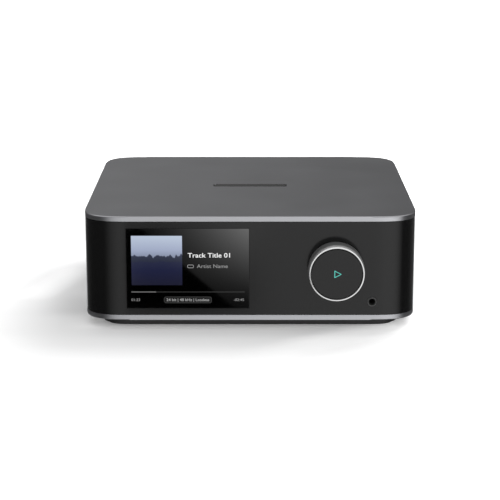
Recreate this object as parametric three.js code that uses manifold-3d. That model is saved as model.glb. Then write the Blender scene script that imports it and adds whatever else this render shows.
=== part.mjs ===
// Desktop digital audio player: an aluminium case with a wrap-round dark front fascia, a 3.5 inch
// display, a large volume knob with a press-to-play face, a headphone socket and a rear panel of
// connectors. Inside are the boards, shields, mains power supply and flat cables.
// Millimetres, +Z up, front towards -Y, +X to the right as seen from the front.
// The origin is on the table, at the centre of the overall footprint.
import * as THREE from "three";
import { mergeVertices } from "three/addons/utils/BufferGeometryUtils.js";
import Module from "manifold-3d";

const wasm = await Module();
wasm.setup();

// ---------- driving dimensions ----------
const WIDTH = 203; // case width, X
const DEPTH = 195.6; // case depth, Y, without knob and rear terminals
const HEIGHT = 71; // table to top face
const FRONT = -95.8; // Y of the case front plane
const BACK = FRONT + DEPTH; // Y of the case rear plane
const BODY_Z0 = 6.4; // underside of the case
const MID_Z = (BODY_Z0 + HEIGHT) / 2; // centre height of fascia, display and knob
const WALL = 3; // case wall
const ROOF_Z = HEIGHT - 2.6; // underside of the case top plate
const CORNER = 28; // extent of the plan corner curve
const CORNER_EXP = 3; // superellipse exponent of the plan corner

const RIM = 3.1; // bright rim above and below the fascia
const FASCIA_END = FRONT + 17; // where the fascia stops on each side
const FASCIA_IN = 1.8; // depth of the fascia seat
const FASCIA_GAP = 0.25; // clearance round the fascia edges

const SCREEN_X = -37.8;
const SCREEN_W = 74.4;
const SCREEN_H = 49.7;
const LCD_HALF_W = 38.4;
const LCD_HALF_H = 26.4;
const KNOB_X = 51.9;
const KNOB_R = 17;
const KNOB_LENGTH = 14;
const JACK_X = 74.2;
const JACK_Z = 17.7;

const INLAY_Y = FRONT + 94; // small plain inlay on the top face
const INLAY_W = 48;
const INLAY_D = 8;
const INLAY_R = 3.9;
const INLAY_GAP = 0.2;

const BOSS_X = 76; // screw bosses, left and right of centre
const BOSS_INSET = 26.5; // screw bosses, from front and rear planes
const BOSS_BACK_Y = BACK - BOSS_INSET;
const BOSSES = [-BOSS_X, BOSS_X].flatMap((x) => [
  [x, FRONT + BOSS_INSET],
  [x, BOSS_BACK_Y],
]);

const BOARD_T = 1.6; // thickness of every circuit board
const PART_GAP = 0.2; // between a board and the parts on it
const BOARD_Z0 = 13.6; // underside of the two horizontal boards
const BOARD_Z1 = BOARD_Z0 + BOARD_T;
const SEAT_Z = BOARD_Z1 + PART_GAP; // underside of board-mounted parts
const BOARD_BACK = BACK - 5.8; // rear edge of the horizontal boards
const CONTROL_Y = 14.5; // front face of the upright control board, behind FRONT
const CONTROL_SEAT = CONTROL_Y - PART_GAP; // back of the parts mounted on it

const WINDOW_W = 172; // rear window for the connector panel
const WINDOW_H = 52.2;
const WINDOW_Z = 38.5;
const WINDOW_R = 4;

// ---------- solids ----------
function toSolid(geometry) {
  const bare = geometry.clone();
  bare.deleteAttribute("normal");
  bare.deleteAttribute("uv");
  const merged = mergeVertices(bare, 1e-4);
  const triVerts = new Uint32Array(merged.index.array);
  const vertProperties = merged.attributes.position.array;
  const build = () =>
    new wasm.Manifold(new wasm.Mesh({ numProp: 3, vertProperties, triVerts }));
  const result = build();
  if (result.volume() >= 0) return result;
  // an inside-out surface has its triangles reversed
  for (let i = 0; i < triVerts.length; i += 3)
    [triVerts[i + 1], triVerts[i + 2]] = [triVerts[i + 2], triVerts[i + 1]];
  return build();
}

function toGeometry(solid) {
  const { numProp, numVert, vertProperties, triVerts } = solid.getMesh();
  const points = new Float32Array(numVert * 3);
  for (let i = 0; i < numVert; i++)
    points.set(vertProperties.subarray(i * numProp, i * numProp + 3), i * 3);
  return new THREE.BufferGeometry()
    .setAttribute("position", new THREE.BufferAttribute(points, 3))
    .setIndex(new THREE.BufferAttribute(new Uint32Array(triVerts), 1));
}

const cutAll = (body, tools) => tools.reduce((rest, tool) => rest.subtract(tool), body);
const joinAll = (body, extras) => extras.reduce((sum, extra) => sum.add(extra), body);

// exact turns that lay a 2D shape on XZ (extruded along Y) or on YZ (extruded along X)
const LAY_XZ = new THREE.Matrix4().set(1, 0, 0, 0, 0, 0, -1, 0, 0, 1, 0, 0, 0, 0, 0, 1);
const LAY_YZ = new THREE.Matrix4().set(0, 0, 1, 0, 1, 0, 0, 0, 0, 1, 0, 0, 0, 0, 0, 1);

const box = (x0, x1, y0, y1, z0, z1) =>
  toSolid(
    new THREE.BoxGeometry(x1 - x0, y1 - y0, z1 - z0).translate(
      (x0 + x1) / 2,
      (y0 + y1) / 2,
      (z0 + z1) / 2,
    ),
  );
// box centred on the local Y axis
const block = (w, h, y0, y1) => box(-w / 2, w / 2, y0, y1, -h / 2, h / 2);

const extrude = (shape, depth) =>
  new THREE.ExtrudeGeometry(shape, { depth, bevelEnabled: false, curveSegments: 6, steps: 1 });
const prismZ = (shape, z0, z1) => toSolid(extrude(shape, z1 - z0).translate(0, 0, z0));
const prismY = (shape, y0, y1) =>
  toSolid(extrude(shape, y1 - y0).applyMatrix4(LAY_XZ).translate(0, y1, 0));
const prismX = (shape, x0, x1) =>
  toSolid(extrude(shape, x1 - x0).applyMatrix4(LAY_YZ).translate(x0, 0, 0));

const rodY = (x, z, r, y0, y1, sides = 24) =>
  toSolid(new THREE.CylinderGeometry(r, r, y1 - y0, sides).translate(x, (y0 + y1) / 2, z));
// rod on the local Y axis
const pin = (r, y0, y1, sides) => rodY(0, 0, r, y0, y1, sides);
const rodZ = (x, y, r, z0, z1, sides) =>
  toSolid(
    new THREE.CylinderGeometry(r, r, z1 - z0, sides)
      .applyMatrix4(LAY_XZ)
      .translate(x, y, (z0 + z1) / 2),
  );
// closed profile of [radius, y] pairs turned about the local Y axis
const turnY = (profile, sides) =>
  toSolid(
    new THREE.LatheGeometry(
      [...profile, profile[0]].map(([r, y]) => new THREE.Vector2(r, y)),
      sides,
    ),
  );

// ---------- 2D shapes ----------
const polygon = (points) => new THREE.Shape(points.map(([a, b]) => new THREE.Vector2(a, b)));

// evenly spaced points round the origin, at radiusAt(index)
const radialPolygon = (count, radiusAt) =>
  polygon(
    Array.from({ length: count }, (_, i) => {
      const angle = (i * 2 * Math.PI) / count;
      return [radiusAt(i) * Math.cos(angle), radiusAt(i) * Math.sin(angle)];
    }),
  );

function roundRect(cx, cy, w, h, r, segments = 4) {
  const points = [];
  for (const [sx, sy, start] of [[1, 1, 0], [-1, 1, 90], [-1, -1, 180], [1, -1, 270]])
    for (let i = 0; i <= segments; i++) {
      const angle = ((start + (90 * i) / segments) * Math.PI) / 180;
      points.push([
        cx + sx * (w / 2 - r) + r * Math.cos(angle),
        cy + sy * (h / 2 - r) + r * Math.sin(angle),
      ]);
    }
  return polygon(points);
}

// plan outline of the case, moved inwards by inset: straight sides joined by superellipse corners
function outline(inset, segments = 12) {
  const r = CORNER - inset;
  const cx = WIDTH / 2 - CORNER;
  const power = 2 / CORNER_EXP;
  const points = [];
  for (const [sx, sy, reversed] of [[1, 1, false], [-1, 1, true], [-1, -1, false], [1, -1, true]]) {
    const cy = sy > 0 ? BACK - CORNER : FRONT + CORNER;
    for (let i = 0; i <= segments; i++) {
      const angle = (reversed ? 1 - i / segments : i / segments) * (Math.PI / 2);
      points.push([
        sx * (cx + r * Math.pow(Math.max(Math.cos(angle), 0), power)),
        cy + sy * r * Math.pow(Math.max(Math.sin(angle), 0), power),
      ]);
    }
  }
  return polygon(points);
}

// ---------- materials and assembly ----------
const FINISHES = {
  caseMetal: { color: 0x6b6c6f, roughness: 0.38, metalness: 1 },
  polished: { color: 0x2a2b2d, roughness: 0.12, metalness: 1 },
  fascia: { color: 0x35363a, roughness: 0.32, metalness: 0.6 },
  glass: { color: 0x050506, roughness: 0.04, metalness: 0 },
  black: { color: 0x141415, roughness: 0.55, metalness: 0 },
  rubber: { color: 0x101011, roughness: 0.85, metalness: 0 },
  steel: { color: 0xa8a9ab, roughness: 0.3, metalness: 1 },
  nickel: { color: 0xc9c8c2, roughness: 0.2, metalness: 1 },
  brass: { color: 0xc9a050, roughness: 0.25, metalness: 1 },
  board: { color: 0x143a2a, roughness: 0.5, metalness: 0 },
  ribbon: { color: 0xd8d8d2, roughness: 0.5, metalness: 0 },
  lens: { color: 0x2fd0b8, roughness: 0.2, metalness: 0 },
};

const root = new THREE.Group();

function addGroup(x, y, z) {
  const group = new THREE.Group();
  group.position.set(x, y, z);
  root.add(group);
  return group;
}

function add(parent, name, solid, finish, position = [0, 0, 0]) {
  const mesh = new THREE.Mesh(
    toGeometry(solid),
    new THREE.MeshStandardMaterial(FINISHES[finish]),
  );
  mesh.name = name;
  mesh.position.set(...position);
  parent.add(mesh);
}

// ---------- case ----------
function caseShell() {
  const hollow = prismZ(outline(WALL), BODY_Z0 - 1, ROOF_Z);
  const fasciaSeat = prismZ(outline(-2), BODY_Z0 + RIM, HEIGHT - RIM)
    .subtract(prismZ(outline(FASCIA_IN), BODY_Z0, HEIGHT))
    .intersect(box(-120, 120, FRONT - 5, FASCIA_END, 0, 80));
  let shell = prismZ(outline(0), BODY_Z0, HEIGHT).subtract(hollow).subtract(fasciaSeat);
  for (const [x, y] of BOSSES)
    shell = shell.add(rodZ(x, y, 4, 8.3, ROOF_Z + 1, 16)).subtract(rodZ(x, y, 1.5, 8, 24, 10));

  const halfW = LCD_HALF_W + 0.9;
  const halfH = LCD_HALF_H + 0.9;
  const [y0, y1] = [FRONT - 1, FRONT + 4];
  return cutAll(shell, [
    // openings behind the fascia: display, knob bushing, headphone socket
    box(SCREEN_X - halfW, SCREEN_X + halfW, y0, y1, MID_Z - halfH, MID_Z + halfH),
    rodY(KNOB_X, MID_Z, 6, y0, y1),
    rodY(JACK_X, JACK_Z, 3.2, y0, y1, 20),
    // rear window
    prismY(roundRect(0, WINDOW_Z, WINDOW_W, WINDOW_H, WINDOW_R), BACK - 5, BACK + 1),
    // shallow pocket for the top inlay
    prismZ(
      roundRect(0, INLAY_Y, INLAY_W + 2 * INLAY_GAP, INLAY_D + 2 * INLAY_GAP, INLAY_R + INLAY_GAP),
      HEIGHT - 0.6,
      HEIGHT + 1,
    ),
  ]);
}

function frontFascia() {
  const [y0, y1] = [FRONT - 1, FRONT + 3];
  const band = prismZ(outline(0.2), BODY_Z0 + RIM + FASCIA_GAP, HEIGHT - RIM - FASCIA_GAP)
    .subtract(prismZ(outline(1.6), 5, 75))
    .intersect(box(-120, 120, FRONT - 5, FASCIA_END - FASCIA_GAP, 0, 80));
  return cutAll(band, [
    prismY(roundRect(SCREEN_X, MID_Z, SCREEN_W + 0.4, SCREEN_H + 0.4, 0.5, 2), y0, y1),
    rodY(KNOB_X, MID_Z, 5.4, y0, y1),
    rodY(JACK_X, JACK_Z, 3, y0, y1),
  ]);
}

const caseGroup = addGroup(0, 0, 0);
add(caseGroup, "case_shell", caseShell(), "caseMetal");
const inlay = prismZ(roundRect(0, 0, INLAY_W, INLAY_D, INLAY_R), 0, 0.55);
add(caseGroup, "top_inlay", inlay, "polished", [0, INLAY_Y, HEIGHT - 0.57]);
add(caseGroup, "front_fascia", frontFascia(), "fascia");

// ---------- display, Y measured from the case front ----------
const screenGlass = () => prismY(roundRect(0, 0, SCREEN_W, SCREEN_H, 0.4, 2), 0.2, 1.5);

// module with a shallow step for the driver glass along its lower edge
const lcdPanel = () =>
  block(2 * LCD_HALF_W, 2 * LCD_HALF_H, 1.7, 3.9).add(box(-12, 12, 3.8, 4.3, -LCD_HALF_H, -21));

// pressed steel bracket: frame, cross rib and four ears
function displayBracket() {
  const [y0, y1] = [4.6, 5.6];
  const frame = block(79.6, 52.4, y0, y1).subtract(block(60, 36, 4, 6));
  const ears = [-41.8, 39].flatMap((x) =>
    [14, -22].map((z) => box(x, x + 2.8, y0, y1, z, z + 8)),
  );
  return joinAll(frame, [block(62, 4, y0, y1), ...ears]);
}

const display = addGroup(SCREEN_X, FRONT, MID_Z);
add(display, "screen_glass", screenGlass(), "glass");
add(display, "lcd_panel", lcdPanel(), "black");
add(display, "display_bracket", displayBracket(), "steel");

// ---------- flat cables ----------
const RIBBON_T = 0.4;

// centre lines: [distance behind FRONT, z]
const DISPLAY_RIBBON = [
  [6.2, 14], [6.6, 18.5], [8.5, 21.5], [12, 22.6], [18, 21.5],
  [26, 18.2], [33, 16.4], [40, 16], [46, 16],
];
const CONTROL_RIBBON = [
  [16.7, 30], [17.2, 25], [19.5, 21.5], [24, 19], [30, 17], [37, 16], [46, 16],
];

// thin strip following a line in the YZ plane, from x0 to x1
function ribbon(line, x0, x1) {
  const upper = [];
  const lower = [];
  line.forEach(([y, z], i) => {
    const [ya, za] = line[Math.max(i - 1, 0)];
    const [yb, zb] = line[Math.min(i + 1, line.length - 1)];
    const length = Math.hypot(yb - ya, zb - za);
    const dy = (-(zb - za) / length) * (RIBBON_T / 2);
    const dz = ((yb - ya) / length) * (RIBBON_T / 2);
    upper.push([FRONT + y + dy, z + dz]);
    lower.unshift([FRONT + y - dy, z - dz]);
  });
  return prismX(polygon([...upper, ...lower]), x0, x1);
}

add(root, "display_ribbon", ribbon(DISPLAY_RIBBON, -48, -28), "ribbon");

// ---------- volume knob with play button, about its own axis, Y from the case front ----------
const KNOB_FACE = -KNOB_LENGTH; // front end of the knob

// [radius, y]: rounded front edge, outer wall, hollow back, central hub, recess for the button
const KNOB_PROFILE = [
  [15.5, KNOB_FACE], [15.65, KNOB_FACE], [KNOB_R, KNOB_FACE + 0.6],
  [KNOB_R, -1], [KNOB_R - 0.4, -0.6], [13.2, -0.6],
  [13.2, -8], [5.2, -8], [5.2, -4.5], [3.3, -4.5],
  [3.3, -10.6], [15.5, -10.6],
];

const playIcon = (scale) =>
  polygon([
    [-1.55 * scale, 2.3 * scale],
    [-1.55 * scale, -2.3 * scale],
    [2.6 * scale, 0],
  ]);

const playFace = () =>
  pin(15.15, KNOB_FACE + 0.15, KNOB_FACE + 1.8, 56).subtract(
    prismY(playIcon(1), KNOB_FACE - 1, KNOB_FACE + 3),
  );

// disc behind the face, a rod back to the switch and a triangle filling the icon
const lightGuide = () =>
  pin(5, KNOB_FACE + 1.9, KNOB_FACE + 2.6, 20)
    .add(pin(1.8, KNOB_FACE + 2.5, 9.1, 16))
    .add(prismY(playIcon(0.9), KNOB_FACE + 0.2, KNOB_FACE + 2));

// hollow shaft with a flange at the back
const encoderRotor = () =>
  pin(3, -10.2, 6.2, 20).add(pin(5.8, 6, 8, 24)).subtract(pin(2.25, -11, 9, 20));

// square body with a bushing in front, bored for the shaft and its flange
const encoderHousing = () =>
  block(16, 16, 3.4, CONTROL_SEAT)
    .add(pin(4.5, -2.4, 4, 20))
    .subtract(pin(3.35, -3, 6, 20))
    .subtract(pin(6.3, 5.7, 15, 24));

const encoderNut = () =>
  prismY(radialPolygon(6, () => 6.8), -1.9, -0.1).subtract(pin(4.75, -3, 1, 20));

const switchBody = () => block(6, 6, 10.8, CONTROL_SEAT).subtract(pin(1.75, 10, 12.6, 16));

const knob = addGroup(KNOB_X, FRONT, MID_Z);
add(knob, "volume_knob", turnY(KNOB_PROFILE, 56), "fascia");
add(knob, "play_button_face", playFace(), "fascia");
add(knob, "play_light_guide", lightGuide(), "lens");
add(knob, "encoder_rotor", encoderRotor(), "steel");
add(knob, "encoder_housing", encoderHousing(), "steel");
add(knob, "encoder_nut", encoderNut(), "nickel");
add(knob, "play_switch_body", switchBody(), "black");
add(knob, "play_switch_stem", pin(1.4, 9.3, 11.6, 16), "lens");

// ---------- control board and headphone socket ----------
// upright board with a notch in its upper left corner
const controlBoard = () =>
  box(20, 92, FRONT + CONTROL_Y, FRONT + CONTROL_Y + BOARD_T, 12.4, 56).subtract(
    box(19, 33, FRONT + 14, FRONT + 17, 40, 57),
  );

const headphoneJack = () =>
  block(9, 8.4, 3.4, CONTROL_SEAT).add(pin(2.7, 1.5, 4, 20)).subtract(pin(1.8, 1, 13, 16));

// [radius, y] from the case front
const BEZEL_PROFILE = [
  [2.35, -0.1], [2.65, -0.1], [2.8, 0.05], [2.8, 1.3], [1.95, 1.3], [1.95, 0.6],
];

const jackPosition = [JACK_X, FRONT, JACK_Z];
add(root, "control_board", controlBoard(), "board");
add(root, "headphone_jack", headphoneJack(), "black", jackPosition);
add(root, "jack_bezel", turnY(BEZEL_PROFILE, 28), "fascia", jackPosition);
add(root, "control_ribbon", ribbon(CONTROL_RIBBON, 21.5, 31.5), "ribbon");

// ---------- main board ----------
// horizontal board, cleared round one rear boss and trimmed to the case outline
const floorBoard = (x0, x1, y0, bossX) =>
  box(x0, x1, y0, BOARD_BACK, BOARD_Z0, BOARD_Z1)
    .subtract(rodZ(bossX, BOSS_BACK_Y, 5, 10, 20, 16))
    .intersect(prismZ(outline(WALL + 1.2), 10, 20));

// thin-walled can, open below
function shield(x0, x1, y0, y1, top) {
  const t = 0.5;
  return box(x0, x1, y0, y1, SEAT_Z, top).subtract(
    box(x0 + t, x1 - t, y0 + t, y1 - t, SEAT_Z - 1, top - t),
  );
}

// plate with upright fins spaced along X
function processorHeatsink() {
  const pitch = 5.2;
  let sink = box(-30, 8, -20, 18, 18.9, 21.2);
  for (let i = 0; i < 8; i++) {
    const x = -30 + i * pitch;
    sink = sink.add(box(x, x + 1.6, -20, 18, 21, 31));
  }
  return sink;
}

const wirelessModule = () =>
  box(-78, -60, -52, -38, SEAT_Z, 16.2)
    .add(box(-77, -64, -51, -39, 16, 18))
    .add(box(-63, -61, -50, -48, 16, 17.2));

const antenna = () =>
  block(26, 10, BACK - 6.8, BACK - 5.5).add(box(-3, 3, BACK - 8.6, BACK - 6.7, -5, -1));

add(root, "main_board", floorBoard(-94, 32, FRONT + 36, -BOSS_X), "board");
add(root, "processor_shield", shield(-32, 10, -22, 20, 18.6), "steel");
add(root, "processor_heatsink", processorHeatsink(), "black");
add(root, "audio_shield", shield(-92, -46, 8, 66, 20.4), "steel");
add(root, "wireless_module", wirelessModule(), "steel");
add(root, "antenna_left", antenna(), "board", [-42, 0, 58]);
add(root, "antenna_right", antenna(), "board", [74, 0, 58]);

// ---------- mains power supply ----------
const PSU_X = 62; // transformer and capacitor
const PSU_STANDOFFS = [[41, -43], [91, -43], [41, 66], [91, 66]]; // x, y

// winding stack between two ferrite cheeks
const transformer = () =>
  joinAll(box(-12, 12, -10, 10, SEAT_Z, 20), [
    box(-8, 8, -12.5, 12.5, 19, 36),
    box(-12, 12, -9, 9, 36, 39),
    box(-12, -9.4, -6, 6, 19, 37),
    box(9.4, 12, -6, 6, 19, 37),
  ]);

// [radius, y]: can lying along Y, with a groove near its rear end
const CAPACITOR_R = 9;
const CAPACITOR_PROFILE = [
  [0, -15], [8.4, -15], [CAPACITOR_R, -14.4],
  [CAPACITOR_R, 11.4], [8.5, 12.1], [CAPACITOR_R, 12.8],
  [CAPACITOR_R, 14.4], [8.4, 15], [0, 15],
];

// upright plate with fins on its left side
function psuHeatsink() {
  const pitch = 11;
  let sink = box(87, 89.5, -20, 44, SEAT_Z, 44);
  for (let i = 0; i < 6; i++) {
    const y = -20 + i * pitch;
    sink = sink.add(box(83, 88, y, y + 2.2, 20, 44));
  }
  return sink;
}

// sheet under the board, holed for the standoffs and the rear boss
const psuInsulator = () =>
  cutAll(
    box(35.5, 96.5, FRONT + 45, BACK - 8, 10.6, 11).intersect(prismZ(outline(WALL + 1), 10, 12)),
    [
      ...PSU_STANDOFFS.map(([x, y]) => rodZ(x, y, 4, 10, 12, 12)),
      rodZ(BOSS_X, BOSS_BACK_Y, 5, 10, 12, 12),
    ],
  );

// centre line from the supply board over to the main board: x, y, z
const POWER_CABLE = [
  [40.5, 34, 17.6], [40, 34, 24], [36, 33, 28],
  [31, 32, 28], [27.4, 31, 24], [27, 31, 17.6],
];

function powerCable() {
  const section = new THREE.Shape();
  section.absarc(0, 0, 2.1, 0, Math.PI * 2);
  return toSolid(
    new THREE.ExtrudeGeometry(section, {
      steps: 14,
      curveSegments: 5,
      bevelEnabled: false,
      extrudePath: new THREE.CatmullRomCurve3(POWER_CABLE.map((p) => new THREE.Vector3(...p))),
    }),
  );
}

add(root, "power_supply_board", floorBoard(37, 95, FRONT + 50, BOSS_X), "board");
add(root, "psu_transformer", transformer(), "black", [PSU_X, 12, 0]);
const capacitorPosition = [PSU_X, -26, SEAT_Z + CAPACITOR_R + 0.1];
add(root, "psu_capacitor", turnY(CAPACITOR_PROFILE, 24), "black", capacitorPosition);
add(root, "psu_heatsink", psuHeatsink(), "steel");
add(root, "psu_insulator", psuInsulator(), "ribbon");
add(root, "power_cable", powerCable(), "black");

// ---------- rear panel ----------
const MAINS_X = 60;
const MAINS_Z = 24.4;
const NETWORK_X = 22.5;
const USB_X = 6;
const AV_X = -10;
const OPTICAL_X = -25.5;
const TRIGGER_X = 6;
const TRIGGER_Z = 37;
const GROUND_X = -78.5;
const GROUND_Z = 55.5;
const RCA_Z = [24.5, 41];
const RCA_PAIRS = [
  ["rca_digital_sub_pair", -41],
  ["rca_line_out_pair", -53.5],
  ["rca_line_in_pair", -66],
  ["rca_phono_in_pair", -78.5],
];
const SOCKET_BACK = BACK - 0.7; // outer end of the square-bodied sockets

// openings standing on the board seat: x, half width, top above SEAT_Z
const PANEL_SLOTS = [
  [NETWORK_X, 8.3, 14], [USB_X, 7.5, 7.5], [AV_X, 7.9, 6.6], [OPTICAL_X, 5.5, 23.2],
];
// round holes: x, z, radius, sides
const PANEL_HOLES = [
  ...RCA_PAIRS.flatMap(([, x]) => RCA_Z.map((z) => [x, z, 4.5, 20])),
  [TRIGGER_X, TRIGGER_Z, 3.4, 20],
  [GROUND_X, GROUND_Z, 2.3, 16],
];

// plate filling the window, with a larger flange inside the case
function rearPanel() {
  const gap = 0.3;
  const flangeBack = BACK - 3.4;
  const [y0, y1] = [BACK - 8, BACK + 2];
  const plate = prismY(
    roundRect(0, WINDOW_Z, WINDOW_W - 2 * gap, WINDOW_H - 2 * gap, WINDOW_R - gap),
    flangeBack - 0.1,
    BACK - 1,
  );
  const flange = prismY(roundRect(0, WINDOW_Z, 179, 57.4, 4), BACK - 5.2, flangeBack).intersect(
    prismZ(outline(WALL + gap), 0, 80),
  );
  return cutAll(plate.add(flange), [
    prismY(roundRect(MAINS_X, MAINS_Z, 20.6, 15, 2.2, 3), y0, y1),
    ...PANEL_SLOTS.map(([x, half, top]) =>
      box(x - half, x + half, y0, y1, SEAT_Z - 0.3, SEAT_Z + top),
    ),
    ...PANEL_HOLES.map(([x, z, r, sides]) => rodY(x, z, r, y0, y1, sides)),
  ]);
}

add(root, "rear_panel", rearPanel(), "black");

// ---------- rear connectors ----------
const MAINS_PIN_X = 4.3; // pins, either side of the inlet centre

// two-pin mains inlet: body with a stadium socket
const mainsInlet = () =>
  cutAll(
    prismY(roundRect(0, 0, 20, 14.4, 2, 3), BACK - 20, BACK - 0.9).add(
      box(-9, 9, BACK - 19, BACK - 8, -8.7, 0),
    ),
    [
      prismY(roundRect(0, 0, 14.4, 8, 3.9, 5), BACK - 13, BACK + 1),
      rodY(-MAINS_PIN_X, 0, 1.35, BACK - 19, BACK - 12, 12),
      rodY(MAINS_PIN_X, 0, 1.35, BACK - 19, BACK - 12, 12),
    ],
  );

// [radius, y]
const MAINS_PIN_PROFILE = [
  [0, BACK - 18.8], [1.15, BACK - 18.8], [1.15, BACK - 4.4], [0.6, BACK - 3.4], [0, BACK - 3.4],
];

const networkSocket = () =>
  box(-8, 8, BACK - 20, SOCKET_BACK, 0, 13.6)
    .subtract(box(-6, 6, BACK - 14, BACK + 1, 2.2, 10.2))
    .subtract(box(-3.2, 3.2, BACK - 14, BACK + 1, 10, 12.4));

// shell with a contact tongue
const usbSocket = () =>
  box(-7.2, 7.2, BACK - 18, SOCKET_BACK, 0, 7.2)
    .subtract(box(-6.4, 6.4, BACK - 14, BACK + 1, 0.9, 6.3))
    .add(box(-5.5, 5.5, BACK - 14.2, BACK - 2.4, 3.9, 5.8));

// rectangle with both lower corners cut off
const avShape = (halfBase, halfWidth, bottom, shoulder, top) =>
  polygon([
    [-halfBase, bottom], [halfBase, bottom], [halfWidth, shoulder],
    [halfWidth, top], [-halfWidth, top], [-halfWidth, shoulder],
  ]);

const avSocket = () =>
  prismY(avShape(5.6, 7.6, 0, 1.8, 6.2), BACK - 14, SOCKET_BACK)
    .subtract(prismY(avShape(5.3, 6.9, 0.7, 2.1, 5.5), BACK - 12, BACK + 1))
    .add(box(-5.4, 5.4, BACK - 12.2, BACK - 2.2, 2.7, 3.9));

const opticalSocket = () =>
  box(-5.2, 5.2, BACK - 17, SOCKET_BACK, 0, 11.2)
    .subtract(box(-4.2, 4.2, BACK - 13, BACK + 1, 1.4, 9.8))
    .subtract(rodY(0, 5.4, 1.2, BACK - 16, BACK - 12, 12));

// two stacked phono sockets on one body
function rcaPair() {
  let body = box(-6, 6, BACK - 20, BACK - 5.6, SEAT_Z, 48.4);
  for (const z of RCA_Z)
    body = body
      .add(rodY(0, z, 4.15, BACK - 6, BACK + 8.4, 20))
      .subtract(rodY(0, z, 1.7, BACK - 4, BACK + 9, 12));
  return body;
}

const triggerJack = () =>
  block(9.2, 8.4, BACK - 18, BACK - 5.6)
    .add(pin(3.1, BACK - 6, BACK - 0.5, 20))
    .subtract(pin(1.8, BACK - 17, BACK + 1, 16));

add(root, "mains_inlet", mainsInlet(), "black", [MAINS_X, 0, MAINS_Z]);
for (const [name, dx] of [["mains_pin_left", -MAINS_PIN_X], ["mains_pin_right", MAINS_PIN_X]])
  add(root, name, turnY(MAINS_PIN_PROFILE, 12), "nickel", [MAINS_X + dx, 0, MAINS_Z]);
add(root, "network_socket", networkSocket(), "steel", [NETWORK_X, 0, SEAT_Z]);
add(root, "usb_socket", usbSocket(), "steel", [USB_X, 0, SEAT_Z]);
add(root, "av_socket", avSocket(), "steel", [AV_X, 0, SEAT_Z]);
// each optical socket has a shutter hinged along its upper edge
for (const [name, z] of [["optical_in", SEAT_Z], ["optical_out", SEAT_Z + 11.6]]) {
  const shutter = box(-3.9, 3.9, -0.35, 0.35, -7.5, 0.2);
  add(root, name + "_socket", opticalSocket(), "black", [OPTICAL_X, 0, z]);
  add(root, name + "_shutter", shutter, "black", [OPTICAL_X, BACK - 2.1, z + 9.3]);
}
for (const [name, x] of RCA_PAIRS) add(root, name, rcaPair(), "nickel", [x, 0, 0]);
add(root, "trigger_jack", triggerJack(), "black", [TRIGGER_X, 0, TRIGGER_Z]);

// ---------- ground terminal, Y from the case rear plane ----------
// stud with a collar and a hexagonal inner end
const groundPost = () =>
  pin(1.9, -9, 10, 16).add(pin(4, -0.8, 0.3, 20)).add(pin(3.4, -8.2, -5.6, 6));
const groundWasher = () => pin(4.4, 0.6, 1.4, 20).subtract(pin(2.2, 0, 2, 16));
// knurled thumb nut
const groundNut = () =>
  prismY(radialPolygon(40, (i) => (i % 2 ? 4.35 : 4.6)), 1.6, 7.2).subtract(pin(2.2, 0, 9, 16));

const ground = addGroup(GROUND_X, BACK, GROUND_Z);
add(ground, "ground_post", groundPost(), "nickel");
add(ground, "ground_washer", groundWasher(), "nickel");
add(ground, "ground_nut", groundNut(), "brass");

// ---------- base ----------
const STANDOFFS = [[-86, -48], [26, -55], [-40, 86], [26, 60], ...PSU_STANDOFFS]; // x, y
const SLOT_PITCH = 8;

// slots through the base, in two columns of seven
const slots = () =>
  [-34, 34].flatMap((x) =>
    Array.from({ length: 7 }, (_, i) => {
      const y = -34 + i * SLOT_PITCH;
      return box(x - 18, x + 18, y - 1.4, y + 1.4, 0, 12);
    }),
  );

// band following the case outline, narrowed by gap on both sides
const footBand = (gap, z0, z1) =>
  prismZ(outline(12 + gap, 10), z0, z1).subtract(prismZ(outline(20 - gap, 8), z0 - 1, z1 + 1));

function bottomPlate() {
  const plate = joinAll(
    prismZ(outline(WALL + 0.3), BODY_Z0, 8),
    STANDOFFS.map(([x, y]) => rodZ(x, y, 3, 7.5, BOARD_Z0 - 0.1, 12)),
  );
  return cutAll(plate, [...BOSSES.map(([x, y]) => rodZ(x, y, 1.8, 5, 10, 12)), ...slots()]);
}

// plinth with a hollow underside and a groove for the foot ring
const basePlinth = () =>
  cutAll(prismZ(outline(10), 1.4, BODY_Z0 - 0.1), [
    prismZ(outline(22, 8), 1, 4.2),
    footBand(0, 1, 2.4),
    ...BOSSES.map(([x, y]) => rodZ(x, y, 1.8, 3, 8, 12)),
    ...slots(),
  ]);

// head, shank and hexagonal drive recess
const baseScrew = () =>
  rodZ(0, 0, 2.8, 2.5, 4.1, 16)
    .add(rodZ(0, 0, 1.25, 4, 20, 10))
    .subtract(rodZ(0, 0, 1.2, 2, 3.4, 6));

add(root, "bottom_plate", bottomPlate(), "steel");
add(root, "base_plinth", basePlinth(), "black");
add(root, "foot_ring", footBand(0.25, 0, 2.2), "rubber");
BOSSES.forEach(([x, y], i) => add(root, `base_screw_${i + 1}`, baseScrew(), "steel", [x, y, 0]));

export default root;
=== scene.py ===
"""Looks of a desktop digital audio player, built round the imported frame.

Metres, +Z up. The front faces -Y, the right side is +X and the floor is at z = 0.
A rounded aluminium case holds a dark fascia with a display, a volume knob with a play button
in its middle and a headphone socket. The other sockets are in the rear panel.
"""

import math

import bmesh
import bpy
from mathutils import Matrix, Vector

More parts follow.
